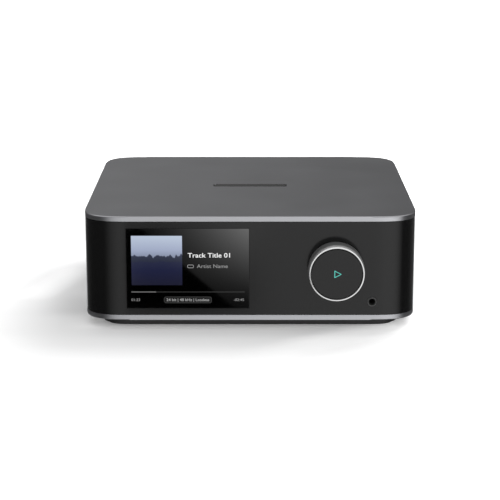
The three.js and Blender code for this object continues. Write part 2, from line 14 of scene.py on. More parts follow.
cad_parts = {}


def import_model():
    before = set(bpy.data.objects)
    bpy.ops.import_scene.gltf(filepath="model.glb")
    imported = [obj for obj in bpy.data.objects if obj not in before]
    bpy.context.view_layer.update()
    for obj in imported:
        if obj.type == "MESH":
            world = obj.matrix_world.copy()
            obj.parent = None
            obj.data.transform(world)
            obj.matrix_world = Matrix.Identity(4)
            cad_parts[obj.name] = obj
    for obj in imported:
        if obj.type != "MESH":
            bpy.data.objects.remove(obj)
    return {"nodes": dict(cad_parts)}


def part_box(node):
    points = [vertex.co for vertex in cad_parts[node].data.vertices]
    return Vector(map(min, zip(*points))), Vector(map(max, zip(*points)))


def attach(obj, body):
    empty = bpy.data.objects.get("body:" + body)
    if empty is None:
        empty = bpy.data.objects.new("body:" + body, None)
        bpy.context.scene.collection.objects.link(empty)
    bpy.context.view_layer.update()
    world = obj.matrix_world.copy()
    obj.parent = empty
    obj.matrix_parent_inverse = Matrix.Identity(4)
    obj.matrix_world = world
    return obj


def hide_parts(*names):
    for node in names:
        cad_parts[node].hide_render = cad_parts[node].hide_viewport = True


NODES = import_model()["nodes"]
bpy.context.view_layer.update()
MM = 0.001
scene = bpy.context.scene


# ---------------------------------------------------------------- places read from the frame
def centre_xz(lo, hi):
    """Middle of a box, seen from the front."""
    return (lo.x + hi.x) / 2, (lo.z + hi.z) / 2


case_lo, case_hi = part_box("case_shell")
fascia_lo, fascia_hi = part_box("front_fascia")
glass_lo, glass_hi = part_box("screen_glass")
knob_lo, knob_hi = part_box("volume_knob")
face_lo, face_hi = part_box("play_button_face")
bezel_lo, bezel_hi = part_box("jack_bezel")
inlay_lo, inlay_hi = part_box("top_inlay")
plinth_lo, plinth_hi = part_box("base_plinth")
foot_lo, foot_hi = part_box("foot_ring")
PANEL_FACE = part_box("rear_panel")[1].y  # the rear panel's outer face

WIDTH = case_hi.x - case_lo.x
FRONT, REAR = case_lo.y, case_hi.y
BOTTOM, TOP = case_lo.z, case_hi.z
CORNER, CORNER_POWER = 28 * MM, 3.0  # superellipse corners of the case's plan
CORNER_X = WIDTH / 2 - CORNER
CORNER_FRONT, CORNER_REAR = FRONT + CORNER, REAR - CORNER

FASCIA_END = fascia_hi.y + 0.25 * MM  # where the case's recess for the fascia stops on the sides
RIM = 3.1 * MM  # height of the rims above and below the fascia
SEAT = 1.8 * MM  # depth of the recess behind the fascia
GLASS_CENTRE = centre_xz(glass_lo, glass_hi)
GLASS_WIDTH, GLASS_HEIGHT = glass_hi.x - glass_lo.x, glass_hi.z - glass_lo.z
KNOB_CENTRE = centre_xz(knob_lo, knob_hi)
KNOB_RADIUS = (knob_hi.x - knob_lo.x) / 2
BEZEL_CENTRE = centre_xz(bezel_lo, bezel_hi)
BEZEL_RADIUS = (bezel_hi.x - bezel_lo.x) / 2
INLAY_Y = (inlay_lo.y + inlay_hi.y) / 2
INLAY_WIDTH, INLAY_DEPTH = inlay_hi.x - inlay_lo.x, inlay_hi.y - inlay_lo.y


# ---------------------------------------------------------------- outlines
def outline(inset, seg=40):
    """Case plan moved inwards: superellipse corners joined by straight sides, anticlockwise."""
    r, power = CORNER - inset, CORNER_POWER
    pts = []
    for sx, sy, backwards in ((1, 1, 0), (-1, 1, 1), (-1, -1, 0), (1, -1, 1)):
        corner_y = CORNER_REAR if sy > 0 else CORNER_FRONT
        for i in range(seg + 1):
            k = i / seg
            t = (1 - k if backwards else k) * math.pi / 2
            c, s = max(math.cos(t), 0.0), max(math.sin(t), 0.0)
            n = (c**power + s**power) ** (1 / power)
            pts.append((sx * (CORNER_X + r * c / n), corner_y + sy * r * s / n))
    return pts


def round_rect(cx, cy, w, h, r, seg):
    pts = []
    for sx, sy, a0 in ((1, 1, 0), (-1, 1, 90), (-1, -1, 180), (1, -1, 270)):
        for i in range(seg + 1):
            a = math.radians(a0 + 90 * i / seg)
            x = cx + sx * (w / 2 - r) + r * math.cos(a)
            pts.append((x, cy + sy * (h / 2 - r) + r * math.sin(a)))
    return pts


def circle(cx, cy, r, n=48):
    turns = [2 * math.pi * i / n for i in range(n)]
    return [(cx + r * math.cos(a), cy + r * math.sin(a)) for a in turns]


def rounded(profile, radii, seg):
    """Rounds the corners of a closed profile. radii is one number, or one per corner."""
    n, out = len(profile), []
    for i in range(n):
        p = Vector(profile[i])
        to_last, to_next = Vector(profile[i - 1]) - p, Vector(profile[(i + 1) % n]) - p
        r = radii[i] if isinstance(radii, (list, tuple)) else radii
        if r <= 0 or to_last.length < 1e-9 or to_next.length < 1e-9:
            out.append(tuple(p))
            continue
        u, v = to_last.normalized(), to_next.normalized()
        half = u.angle(v) / 2
        if half < 0.05 or half > math.pi / 2 - 0.05:
            out.append(tuple(p))
            continue
        trim = min(r / math.tan(half), to_last.length * 0.45, to_next.length * 0.45)
        r = trim * math.tan(half)
        centre = p + (u + v).normalized() * (r / math.sin(half))
        start, end = p + u * trim - centre, p + v * trim - centre
        total = start.angle(end)
        for k in range(seg + 1):
            w = k / seg
            arm = start * math.sin((1 - w) * total) + end * math.sin(w * total)
            out.append(tuple(centre + arm / math.sin(total)))
    return out


# ---------------------------------------------------------------- mesh helpers
def finish_shading(ob, smooth_deg=32):
    for p in ob.data.polygons:
        p.use_smooth = True
    ob.data.set_sharp_from_angle(angle=math.radians(smooth_deg))


def link(name, mesh):
    ob = bpy.data.objects.new(name, mesh)
    scene.collection.objects.link(ob)
    return ob


def new_object(name, bm, mats=(), smooth_deg=32):
    me = bpy.data.meshes.new(name)
    bmesh.ops.recalc_face_normals(bm, faces=bm.faces[:])
    bm.to_mesh(me)
    bm.free()
    ob = link(name, me)
    finish_shading(ob, smooth_deg)
    for m in mats:
        me.materials.append(m)
    return ob


def remove(ob):
    me = ob.data
    bpy.data.objects.remove(ob)
    bpy.data.meshes.remove(me)


def bake_modifiers(ob):
    """Applies the object's modifiers to its mesh."""
    bpy.context.view_layer.update()
    depsgraph = bpy.context.evaluated_depsgraph_get()
    me = bpy.data.meshes.new_from_object(ob.evaluated_get(depsgraph))
    old = ob.data
    ob.modifiers.clear()
    ob.data = me
    bpy.data.meshes.remove(old)
    finish_shading(ob)
    return ob


def weld(bm, merge=1e-7, shortest=1e-8):
    bmesh.ops.remove_doubles(bm, verts=bm.verts[:], dist=merge)
    bmesh.ops.dissolve_degenerate(bm, dist=shortest, edges=bm.edges[:])


def tidy(me, merge=1e-7, shortest=1e-8, cap=False):
    """Welds a finished mesh. cap closes its open rim with one face."""
    bm = bmesh.new()
    bm.from_mesh(me)
    weld(bm, merge, shortest)
    if cap:
        bmesh.ops.contextual_create(bm, geom=[e for e in bm.edges if e.is_boundary])
    bmesh.ops.recalc_face_normals(bm, faces=bm.faces[:])
    bm.to_mesh(me)
    bm.free()


def bevel(ob, width, segments=2, angle=40):
    b = ob.modifiers.new("bevel", "BEVEL")
    b.width, b.segments = width, segments
    b.limit_method, b.angle_limit = "ANGLE", math.radians(angle)
    b.use_clamp_overlap = True
    b.miter_outer = "MITER_ARC"
    return bake_modifiers(ob)


def weighted(ob):
    m = ob.modifiers.new("normals", "WEIGHTED_NORMAL")
    m.keep_sharp, m.weight = True, 60
    return ob


def cut(ob, cutters):
    """Takes the cutters out of the object, then deletes them."""
    for c in cutters:
        m = ob.modifiers.new("cut", "BOOLEAN")
        m.operation, m.object, m.solver = "DIFFERENCE", c, "EXACT"
    bake_modifiers(ob)
    for c in cutters:
        remove(c)
    return ob


def prism(name, pts, lo, hi, axis="Z", mats=()):
    """Closed prism of a 2D outline: points on XY for axis Z, on XZ for axis Y."""
    bm = bmesh.new()
    if axis == "Z":
        a, b = ([bm.verts.new((x, y, end)) for x, y in pts] for end in (lo, hi))
    else:
        a, b = ([bm.verts.new((x, end, z)) for x, z in pts] for end in (lo, hi))
    n = len(pts)
    bm.faces.new(a)
    bm.faces.new(b[::-1])
    for i in range(n):
        bm.faces.new((a[i], b[i], b[(i + 1) % n], a[(i + 1) % n]))
    weld(bm)
    return new_object(name, bm, mats)


def lathe(name, centre, profile, n, mats, slots=None, smooth_deg=32):
    """(radius, y) profile turned about a line along Y.

    A profile that starts on the axis stays open, any other is closed into a ring.
    slots gives a material index for each profile edge.
    """
    cx, cz = centre
    bm = bmesh.new()
    rings = []
    for r, y in profile:
        if r < 1e-9:
            rings.append([bm.verts.new((cx, y, cz))] * n)
        else:
            rings.append([bm.verts.new((x, y, z)) for x, z in circle(cx, cz, r, n)])
    m = len(profile)
    closed = profile[0][0] > 0
    for k in range(m if closed else m - 1):
        a, b = rings[k], rings[(k + 1) % m]
        if a[0] is a[1] and b[0] is b[1]:
            continue
        for i in range(n):
            j = (i + 1) % n
            corners = []
            for v in (a[i], b[i], b[j], a[j]):
                if v not in corners:
                    corners.append(v)
            face = bm.faces.new(corners)
            if slots:
                face.material_index = slots[k]
    return new_object(name, bm, mats, smooth_deg)


def from_end(profile, y):
    """Millimetre (radius, distance along Y) profile, set out from y."""
    return [(r * MM, y + d * MM) for r, d in profile]


def grid(name, cells, lo, hi, at):
    """Flat sheet of cells between two (u, v) corners. at turns u and v into a place."""
    bm = bmesh.new()
    steps = range(cells + 1)
    us, vs = ([lo[a] + (hi[a] - lo[a]) * i / cells for i in steps] for a in (0, 1))
    rows = [[bm.verts.new(at(u, v)) for u in us] for v in vs]
    for below, above in zip(rows, rows[1:]):
        for i in range(cells):
            bm.faces.new((below[i], below[i + 1], above[i + 1], above[i]))
    return new_object(name, bm)


def join(name, objects, smooth_deg=None):
    """Joins meshes into one object, keeping each one's materials."""
    mats, bm = [], bmesh.new()
    for o in objects:
        index = []
        for m in o.data.materials:
            if m not in mats:
                mats.append(m)
            index.append(mats.index(m))
        first = len(bm.faces)
        bm.from_mesh(o.data)
        bm.faces.ensure_lookup_table()
        for f in bm.faces[first:]:
            f.material_index = index[f.material_index]
    me = bpy.data.meshes.new(name)
    bm.to_mesh(me)
    bm.free()
    for m in mats:
        me.materials.append(m)
    for o in objects:
        remove(o)
    ob = link(name, me)
    if smooth_deg:
        finish_shading(ob, smooth_deg)
    return ob


def refined(node, name, mats, width, pick=None):
    """A fresh mesh with a CAD node's shape, its flat faces merged and its edges softened.

    width is the edges' bevel in millimetres. pick gives the material slot at a face's centre.
    """
    bm = bmesh.new()
    bm.from_mesh(NODES[node].data)
    bmesh.ops.remove_doubles(bm, verts=bm.verts[:], dist=2e-6)
    flat = math.radians(0.8)
    bmesh.ops.dissolve_limit(bm, angle_limit=flat, verts=bm.verts[:], edges=bm.edges[:])
    ob = bevel(new_object(name, bm), width * MM, angle=35)
    ob.data.materials.clear()
    for m in mats:
        ob.data.materials.append(m)
    for face in ob.data.polygons:
        face.material_index = pick(face.center) if pick else 0
    return ob


def place(ob, slot, node=None, body="player"):
    """Hides the CAD node that the object replaces and hangs the object on its body. slot is not used.
    """
    if node:
        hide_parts(node)
    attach(ob, body)


# ---------------------------------------------------------------- shader helpers
WHITE = (1, 1, 1, 1)


class Graph:
    """Adds nodes to a shader tree. A node's input is a plain value or an output to link."""

    def __init__(self, tree):
        self.nodes, self.links = tree.nodes, tree.links

    def fill(self, node, inputs):
        for key, value in inputs.items():
            if isinstance(value, bpy.types.NodeSocket):
                self.links.new(value, node.inputs[key])
            else:
                node.inputs[key].default_value = value

    def node(self, kind, inputs=None, **settings):
        node = self.nodes.new("ShaderNode" + kind)
        for key, value in settings.items():
            setattr(node, key, value)
        self.fill(node, inputs or {})
        return node

    def position(self):
        return self.node("TexCoord").outputs["Object"]

    def split(self, vector):
        return self.node("SeparateXYZ", {0: vector}).outputs

    def math(self, operation, *values):
        return self.node("Math", dict(enumerate(values)), operation=operation).outputs[0]

    def span(self, value, start, end, to_min=0.0, to_max=1.0, kind="LINEAR"):
        """Maps start..end to to_min..to_max."""
        ends = {"From Min": start, "From Max": end, "To Min": to_min, "To Max": to_max}
        node = self.node("MapRange", {"Value": value, **ends}, interpolation_type=kind)
        return node.outputs["Result"]

    def step(self, value, start, end):
        """Smooth rise from 0 at start to 1 at end."""
        return self.span(value, start, end, kind="SMOOTHSTEP")

    def band(self, value, rise_start, rise_end, fall_start, fall_end):
        """Smooth rise from 0 to 1 and fall back to 0."""
        rise = self.step(value, rise_start, rise_end)
        fall = self.step(value, fall_start, fall_end)
        return self.math("MULTIPLY", rise, self.math("SUBTRACT", 1.0, fall))

    def mix(self, a, b, factor):
        inputs = {"A": a, "B": b, "Factor": factor}
        return self.node("Mix", inputs, data_type="RGBA").outputs["Result"]


def new_material(name):
    m = bpy.data.materials.new(name)
    m.use_nodes = True
    return m, Graph(m.node_tree)


def srgb(v):
    """Linear value of an 8-bit tone."""
    v = v / 255
    return v / 12.92 if v <= 0.04045 else ((v + 0.055) / 1.055) ** 2.4


def grey(v, tint=(1, 1, 1)):
    return tuple(srgb(v) * t for t in tint) + (1.0,)


def material(
    name,
    color,
    *,
    rough,
    grain,  # scale of the fine noise
    metal=0.0,
    bump=0.1,
    bump_dist=0.02,  # millimetres
    rough_var=0.06,
    color_var=0.06,
    blotch=60.0,  # scale of the broad noise
    coat=0.0,
    spec=0.5,
    stretch=(1, 1, 1),
    emission=None,
    strength=0.0,
):
    """Procedural surface: broad and fine noise vary tone and gloss, the fine one drives the bump."""
    m, g = new_material(name)
    surface = g.nodes["Principled BSDF"]
    gloss = {"Specular IOR Level": spec, "Coat Weight": coat, "Coat Roughness": 0.05}
    g.fill(surface, {"Metallic": metal, **gloss})
    if emission:
        g.fill(surface, {"Emission Color": emission, "Emission Strength": strength})
    where = g.position()
    mapped = g.node("Mapping", {"Vector": where, "Scale": stretch}).outputs["Vector"]
    broad = g.node("TexNoise", {"Scale": blotch, "Detail": 3, "Vector": where}).outputs["Fac"]
    fine_inputs = {"Scale": grain, "Detail": 2, "Roughness": 0.6, "Vector": mapped}
    fine = g.node("TexNoise", fine_inputs).outputs["Fac"]
    both = g.math("MULTIPLY_ADD", fine, 0.5, g.math("MULTIPLY", broad, 0.5))
    smoothest, roughest = max(rough - rough_var, 0.0), min(rough + rough_var, 1.0)
    base = Vector(color[:3])
    darkest, lightest = (*(base * (1 - color_var)), 1), (*(base * (1 + color_var)), 1)
    look = {
        "Roughness": g.span(both, 0.3, 0.7, smoothest, roughest),
        "Base Color": g.mix(darkest, lightest, g.span(both, 0.3, 0.7)),
    }
    if bump:
        relief = {"Strength": bump, "Distance": bump_dist * MM, "Height": fine}
        look["Normal"] = g.node("Bump", relief).outputs["Normal"]
    g.fill(surface, look)
    return m


def glow(name, color, strength):
    """A lit part of the display, under the same gloss as the glass round it."""
    m, g = new_material(name)
    lit = {"Emission Color": color, "Emission Strength": strength}
    surface = {"Base Color": (0.002, 0.002, 0.002, 1), "Roughness": 0.08, "Specular IOR Level": 0.5}
    g.fill(g.nodes["Principled BSDF"], {**surface, **lit})
    return m


# ---------------------------------------------------------------- materials
M_CASE = material(
    "anodised_aluminium", grey(158, (0.98, 0.988, 1.03)), rough=0.34, metal=1.0, grain=5200,
    bump=0.18, bump_dist=0.012, rough_var=0.03, color_var=0.02, blotch=25)
# lighter, glossier copy of the case's aluminium: a painted sheen for the rims. It fills the shell's
# second slot, which no face uses
M_RIM_SHEEN = material(
    "rim_aluminium_painted_sheen", grey(196, (0.995, 1.0, 1.005)), rough=0.27, metal=1.0, grain=5200,
    bump_dist=0.008, rough_var=0.03, color_var=0.02, blotch=25)
M_FASCIA = material(
    "satin_fascia", grey(12, (1.0, 1.0, 1.02)), rough=0.13, grain=4200,
    bump=0.12, bump_dist=0.01, rough_var=0.03, color_var=0.03, blotch=30, spec=0.225)
M_KNOB = material(
    "knob_side", grey(116, (1.0, 1.0, 1.01)), rough=0.34, metal=0.5, grain=2600,
    bump=0.12, bump_dist=0.01, rough_var=0.05, color_var=0.03, stretch=(1, 0.05, 1))
M_BEVEL = material(
    "cut_bevel", grey(186), rough=0.14, metal=1.0, grain=3000,
    bump=0.05, bump_dist=0.005, rough_var=0.03, color_var=0.02, stretch=(1, 0.1, 1))
M_GLASS = material(
    "display_glass", (0.0003, 0.0003, 0.0003, 1), rough=0.03, grain=400,
    bump=0.0, rough_var=0.008, color_var=0.1, blotch=20)
M_BLACK = material("moulded_black", grey(34), rough=0.5, grain=2600, bump=0.3, bump_dist=0.03)
M_PLINTH = material("plinth_black", grey(26), rough=0.5, grain=3200, bump=0.25, spec=0.32)
M_RUBBER = material(
    "foot_rubber", grey(24), rough=0.78, grain=1800, bump=0.35, bump_dist=0.04, rough_var=0.08)
M_STEEL = material(
    "plated_steel", grey(190), rough=0.34, metal=1.0, grain=900, rough_var=0.08, color_var=0.05)
M_NICKEL = material(
    "nickel", grey(208, (1.0, 0.985, 0.95)), rough=0.16, metal=1.0, grain=2600,
    bump=0.06, bump_dist=0.01, rough_var=0.05)
M_GOLD = material(
    "gold_plating", (0.83, 0.58, 0.22, 1), rough=0.2, metal=1.0, grain=2600,
    bump=0.06, bump_dist=0.01, rough_var=0.05)
# near black, darker than the moulded black: painted shade for what is seen down holes, on the headphone
# jack's body and at the bottom of each phono contact
M_HOLE_SHADE = material("hole_painted_shade", grey(6), rough=0.7, grain=1800, bump=0.2)
M_INLAY = material(
    "polished_dark", grey(40), rough=0.1, metal=1.0, grain=1800,
    bump=0.03, bump_dist=0.005, rough_var=0.02)
M_BOARD = material(
    "solder_mask", (0.008, 0.06, 0.03, 1), rough=0.35, grain=700,
    bump=0.3, bump_dist=0.03, coat=0.3, color_var=0.2)
M_FILM = material(
    "cable_film", grey(205, (1, 1, 0.96)), rough=0.4, grain=900,
    bump=0.15, stretch=(1, 0.02, 0.02))
M_SLEEVE = material("capacitor_sleeve", (0.01, 0.02, 0.09, 1), rough=0.3, grain=900, coat=0.4)
M_FERRITE = material("ferrite", grey(46), rough=0.65, grain=1500, bump=0.4, bump_dist=0.04)
M_LENS = material(
    "light_guide", (0.01, 0.35, 0.29, 1), rough=0.2, grain=1500, bump=0.05, bump_dist=0.01,
    emission=(0.02, 0.55, 0.46, 1), strength=0.5)
M_ICON = glow("play_light", (0.06, 0.5, 0.42, 1), strength=1.1)
M_INSULATOR = {
    colour: material("insulator_" + colour, tone, rough=rough, grain=1500)
    for colour, tone, rough in (
        ("red", (0.42, 0.012, 0.012, 1), 0.35),
        ("white", grey(200), 0.35),
        ("black", grey(30), 0.4),
        ("orange", (0.6, 0.16, 0.01, 1), 0.35),
    )
}

# finishes of the CAD nodes
FINISH = (
    (M_BLACK, "lcd_panel play_switch_body processor_heatsink power_cable optical_in_shutter"
     " optical_out_shutter mains_inlet optical_in_socket optical_out_socket trigger_jack"),
    (M_STEEL, "display_bracket encoder_rotor encoder_housing processor_shield audio_shield"
     " wireless_module psu_heatsink base_screw_1 base_screw_2 base_screw_3 base_screw_4"
     " bottom_plate network_socket usb_socket av_socket"),
    (M_FILM, "display_ribbon control_ribbon psu_insulator"),
    (M_NICKEL, "encoder_nut mains_pin_left mains_pin_right rca_digital_sub_pair"
     " rca_line_out_pair rca_line_in_pair rca_phono_in_pair ground_post ground_washer"),
    (M_LENS, "play_switch_stem play_light_guide"),
    (M_BOARD, "control_board main_board power_supply_board antenna_left antenna_right"),
    (M_FERRITE, "psu_transformer"),
    (M_SLEEVE, "psu_capacitor"),
    # the headphone jack, seen down the bezel's bore, in the painted shade of the holes
    (M_HOLE_SHADE, "headphone_jack"),
    (M_GOLD, "ground_nut"),
)
for mat, names in FINISH:
    for name in names.split():
        part = NODES[name]
        part.data.materials.clear()
        part.data.materials.append(mat)
        finish_shading(part, 30)


# ---------------------------------------------------------------- case shell
WALL = 3.0 * MM
ROOF = 2.6 * MM
TOP_ROUND, BOTTOM_ROUND = 0.75 * MM, 0.45 * MM
DISPLAY_HOLE = (78.6 * MM, 54.6 * MM)
REAR_HOLE_Z, REAR_HOLE = 38.5 * MM, (172 * MM, 52.2 * MM)
INLAY_GAP = 0.3 * MM


def at_fascia_end(path, side):
    """Point of a plan path at y = FASCIA_END on one side."""
    for i, a in enumerate(path):
        b = path[(i + 1) % len(path)]
        crosses = (a[1] - FASCIA_END) * (b[1] - FASCIA_END) <= 0 and a[1] != b[1]
        if a[0] * side > 0 and b[0] * side > 0 and crosses:
            k = (FASCIA_END - a[1]) / (b[1] - a[1])
            return (a[0] + k * (b[0] - a[0]), FASCIA_END)
    raise RuntimeError("the fascia's end misses the case outline")


def shell_stations():
    """(outer, seat, inner) plan points round the case. Behind the fascia, seat equals outer."""
    outer, seat, inner = outline(0), outline(SEAT), outline(WALL)
    n = len(outer)
    front = [p[1] < FASCIA_END for p in outer]
    stations = []
    for i in range(n):
        j = (i + 1) % n
        if not front[i]:
            stations.append((outer[i], outer[i], inner[i]))
        elif seat[i][1] < FASCIA_END - 0.2 * MM:
            stations.append((outer[i], seat[i], inner[i]))
        if front[i] != front[j]:
            side = 1 if outer[i][0] > 0 else -1
            o, s, q = (at_fascia_end(path, side) for path in (outer, seat, inner))
            pair = [(o, o, q), (o, s, q)]
            stations.extend(pair[::-1] if front[i] else pair)
    return stations


def inset_point(p, d):
    """Moves a plan point of the case inwards by d along the outline's own corner curve."""
    if d == 0:
        return p
    x, y = p
    corner_y = CORNER_FRONT if y < CORNER_FRONT else CORNER_REAR if y > CORNER_REAR else None
    if abs(x) > CORNER_X and corner_y is not None:
        k = (CORNER - d) / CORNER
        return (math.copysign(CORNER_X + (abs(x) - CORNER_X) * k, x), corner_y + (y - corner_y) * k)
    if abs(x) >= CORNER_X:
        return (math.copysign(abs(x) - d, x), y)
    return (x, y + d if y < 0 else y - d)


def shell_body():
    """The hollow case, open below, with the fascia's recess round its front."""
    stations = shell_stations()
    bm = bmesh.new()

    def ring(z, kind, inset=0.0):
        pts = [inset_point(s[kind], inset) for s in stations]
        return [bm.verts.new((x, y, z)) for x, y in pts]

    outer, seat, inner = 0, 1, 2
    rings = []
    for k in range(5):
        a = math.pi / 2 * k / 4
        drop, inset = BOTTOM_ROUND * (1 - math.cos(a)), BOTTOM_ROUND * (1 - math.sin(a))
        rings.append(ring(BOTTOM + drop, outer, inset))
    for z, kind in ((BOTTOM + RIM, outer), (BOTTOM + RIM, seat), (TOP - RIM, seat), (TOP - RIM, outer)):
        rings.append(ring(z, kind))
    for k in range(7):
        a = math.pi / 2 * k / 6
        z = TOP - TOP_ROUND + TOP_ROUND * math.sin(a)
        rings.append(ring(z, outer, TOP_ROUND * (1 - math.cos(a))))
    m = len(stations)
    for a, b in zip(rings, rings[1:]):
        for i in range(m):
            j = (i + 1) % m
            bm.faces.new((a[i], a[j], b[j], b[i]))
    bm.faces.new(rings[-1])
    # inside: from the bottom edge up to the underside of the top
    low = ring(BOTTOM, inner)
    high = ring(TOP - ROOF, inner)
    for i in range(m):
        j = (i + 1) % m
        bm.faces.new((low[i], low[j], rings[0][j], rings[0][i]))
        bm.faces.new((high[i], high[j], low[j], low[i]))
    bm.faces.new(high[::-1])
    weld(bm, 2e-7)
    return new_object("case_shell_outer", bm)


def build_shell():
    shell = shell_body()
    inlay_size = (INLAY_WIDTH + INLAY_GAP, INLAY_DEPTH + INLAY_GAP)
    front_holes = (
        round_rect(*GLASS_CENTRE, *DISPLAY_HOLE, 1 * MM, 3),
        circle(*KNOB_CENTRE, 6 * MM),
        circle(*BEZEL_CENTRE, BEZEL_RADIUS + 0.4 * MM),
    )
    cutters = [prism("hole", pts, FRONT - 1 * MM, FRONT + 4 * MM, "Y") for pts in front_holes]
    rear = round_rect(0, REAR_HOLE_Z, *REAR_HOLE, 4 * MM, 10)
    cutters.append(prism("hole", rear, REAR - 6 * MM, REAR + 1 * MM, "Y"))
    pocket = round_rect(0, INLAY_Y, *inlay_size, 2.1 * MM, 10)
    cutters.append(prism("pocket", pocket, TOP - 0.62 * MM, TOP + 1 * MM))
    cut(shell, cutters)
    bevel(shell, 0.16 * MM)
    shell.data.materials.append(M_CASE)
    # second slot: the rims' painted-sheen copy of the aluminium, which no face uses
    shell.data.materials.append(M_RIM_SHEEN)
    place(weighted(shell), "anodised_aluminium", "case_shell")


def build_inlay():
    """Polished strip let into the top."""
    pts = round_rect(0, INLAY_Y, INLAY_WIDTH, INLAY_DEPTH, INLAY_DEPTH / 2 * 0.98, 14)
    inlay = prism("top_inlay_strip", pts, inlay_lo.z, inlay_hi.z, mats=(M_INLAY,))
    bevel(inlay, 0.12 * MM, 3)
    place(weighted(inlay), "polished_inlay", "top_inlay")


build_shell()
build_inlay()


# ---------------------------------------------------------------- fascia and display glass
FASCIA_OUTER, FASCIA_INNER = 0.2 * MM, 1.6 * MM  # the skin's two faces, inwards from the case


def build_fascia():
    low, high, back = fascia_lo.z, fascia_hi.z, fascia_hi.y
    fascia = prism("front_fascia_skin", outline(FASCIA_OUTER), low, high)
    gap = 0.34 * MM
    holes = (
        round_rect(*GLASS_CENTRE, GLASS_WIDTH + gap, GLASS_HEIGHT + gap, 0.55 * MM, 5),
        circle(*KNOB_CENTRE, 5.4 * MM),
        circle(*BEZEL_CENTRE, BEZEL_RADIUS + 0.15 * MM, 64),
    )
    behind = [(-0.2, back), (0.2, back), (0.2, 0.3), (-0.2, 0.3)]
    cutters = [
        prism("inside", outline(FASCIA_INNER), low - 1 * MM, high + 1 * MM),
        prism("behind", behind, 0.0, 0.1),
        *(prism("hole", pts, FRONT - 1 * MM, FRONT + 3 * MM, "Y") for pts in holes),
    ]
    cut(fascia, cutters)
    bevel(fascia, 0.14 * MM)
    fascia.data.materials.append(M_FASCIA)
    place(weighted(fascia), "dark_fascia", "front_fascia")


def build_glass():
    pts = round_rect(*GLASS_CENTRE, GLASS_WIDTH, GLASS_HEIGHT, 0.4 * MM, 6)
    glass = prism("display_cover_glass", pts, glass_lo.y, glass_hi.y, "Y", (M_GLASS,))
    bevel(glass, 0.12 * MM, 3)
    place(weighted(glass), "display_glass", "screen_glass")


build_fascia()
build_glass()

# ---------------------------------------------------------------- display picture
# Places in the picture are millimetres from the glass's lower left corner.
# A lift is the distance in front of the glass, in millimetres.
GLASS_FACE = glass_lo.y
ART_X, ART_Z, ART_SIZE = 18.45, 29.8, 30.8
ART_SCALE = (14.4, 45.4)  # heights where the cover's colour ramps start and end
LEFT_EDGE = 2.7
PROGRESS_Z, PROGRESS_DONE = 10.15, 15.2
ARTIST_Z = 26.2
LABEL_Z = 5.15
PILL_X = 37.1

M_WHITE = glow("picture_white", WHITE, strength=0.95)
M_GREY = glow("picture_grey", WHITE, strength=0.30)
M_DIM = glow("picture_dim", WHITE, strength=0.06)
M_PILL = glow("picture_pill", WHITE, strength=0.010)
M_SPEC = glow("picture_spec", WHITE, strength=0.34)


def picture_x(x):
    return glass_lo.x + x * MM


def picture_z(z):
    return glass_lo.z + z * MM


def to_glass(pts):
    return [(picture_x(x), picture_z(z)) for x, z in pts]


def sheet(name, pts, mat, lift):
    """A thin closed picture element in front of the glass."""
    y = GLASS_FACE - lift * MM
    return prism(name, to_glass(pts), y - 0.01 * MM, y, "Y", (mat,))


def frame_line(name, cx, cz, w, h, r, line, mat, lift):
    """A thin rounded outline in the picture."""
    outer = sheet(name, round_rect(cx, cz, w, h, r, 6), mat, lift)
    hollow = round_rect(cx, cz, w - 2 * line, h - 2 * line, max(r - line, 0.05), 6)
    y0, y1 = GLASS_FACE - 1 * MM, GLASS_FACE + 1 * MM
    return cut(outer, [prism("core", to_glass(hollow), y0, y1, "Y")])


def words(name, text, x, z, size, mat, width, align="LEFT", bold=0.0):
    """A line of text stretched to a width. size, width and bold are in millimetres."""
    curve = bpy.data.curves.new(name, "FONT")
    curve.body = text
    curve.size = size * MM
    curve.align_x, curve.align_y = align, "CENTER"
    curve.extrude = 0.006 * MM
    curve.offset = bold * MM
    curve.resolution_u = 3
    ob = link(name, curve)
    spot = Matrix.Translation((picture_x(x), GLASS_FACE - 0.02 * MM, picture_z(z)))
    ob.matrix_world = spot @ Matrix.Rotation(math.pi / 2, 4, "X")
    bpy.context.view_layer.update()
    ob.scale = (width * MM / ob.dimensions.x, 1, 1)
    bpy.context.view_layer.update()
    depsgraph = bpy.context.evaluated_depsgraph_get()
    me = bpy.data.meshes.new_from_object(ob.evaluated_get(depsgraph))
    me.transform(ob.matrix_world)
    tidy(me, 4e-7, 2e-7)
    bpy.data.objects.remove(ob)
    bpy.data.curves.remove(curve)
    me.materials.clear()
    me.materials.append(mat)
    return link(name, me)


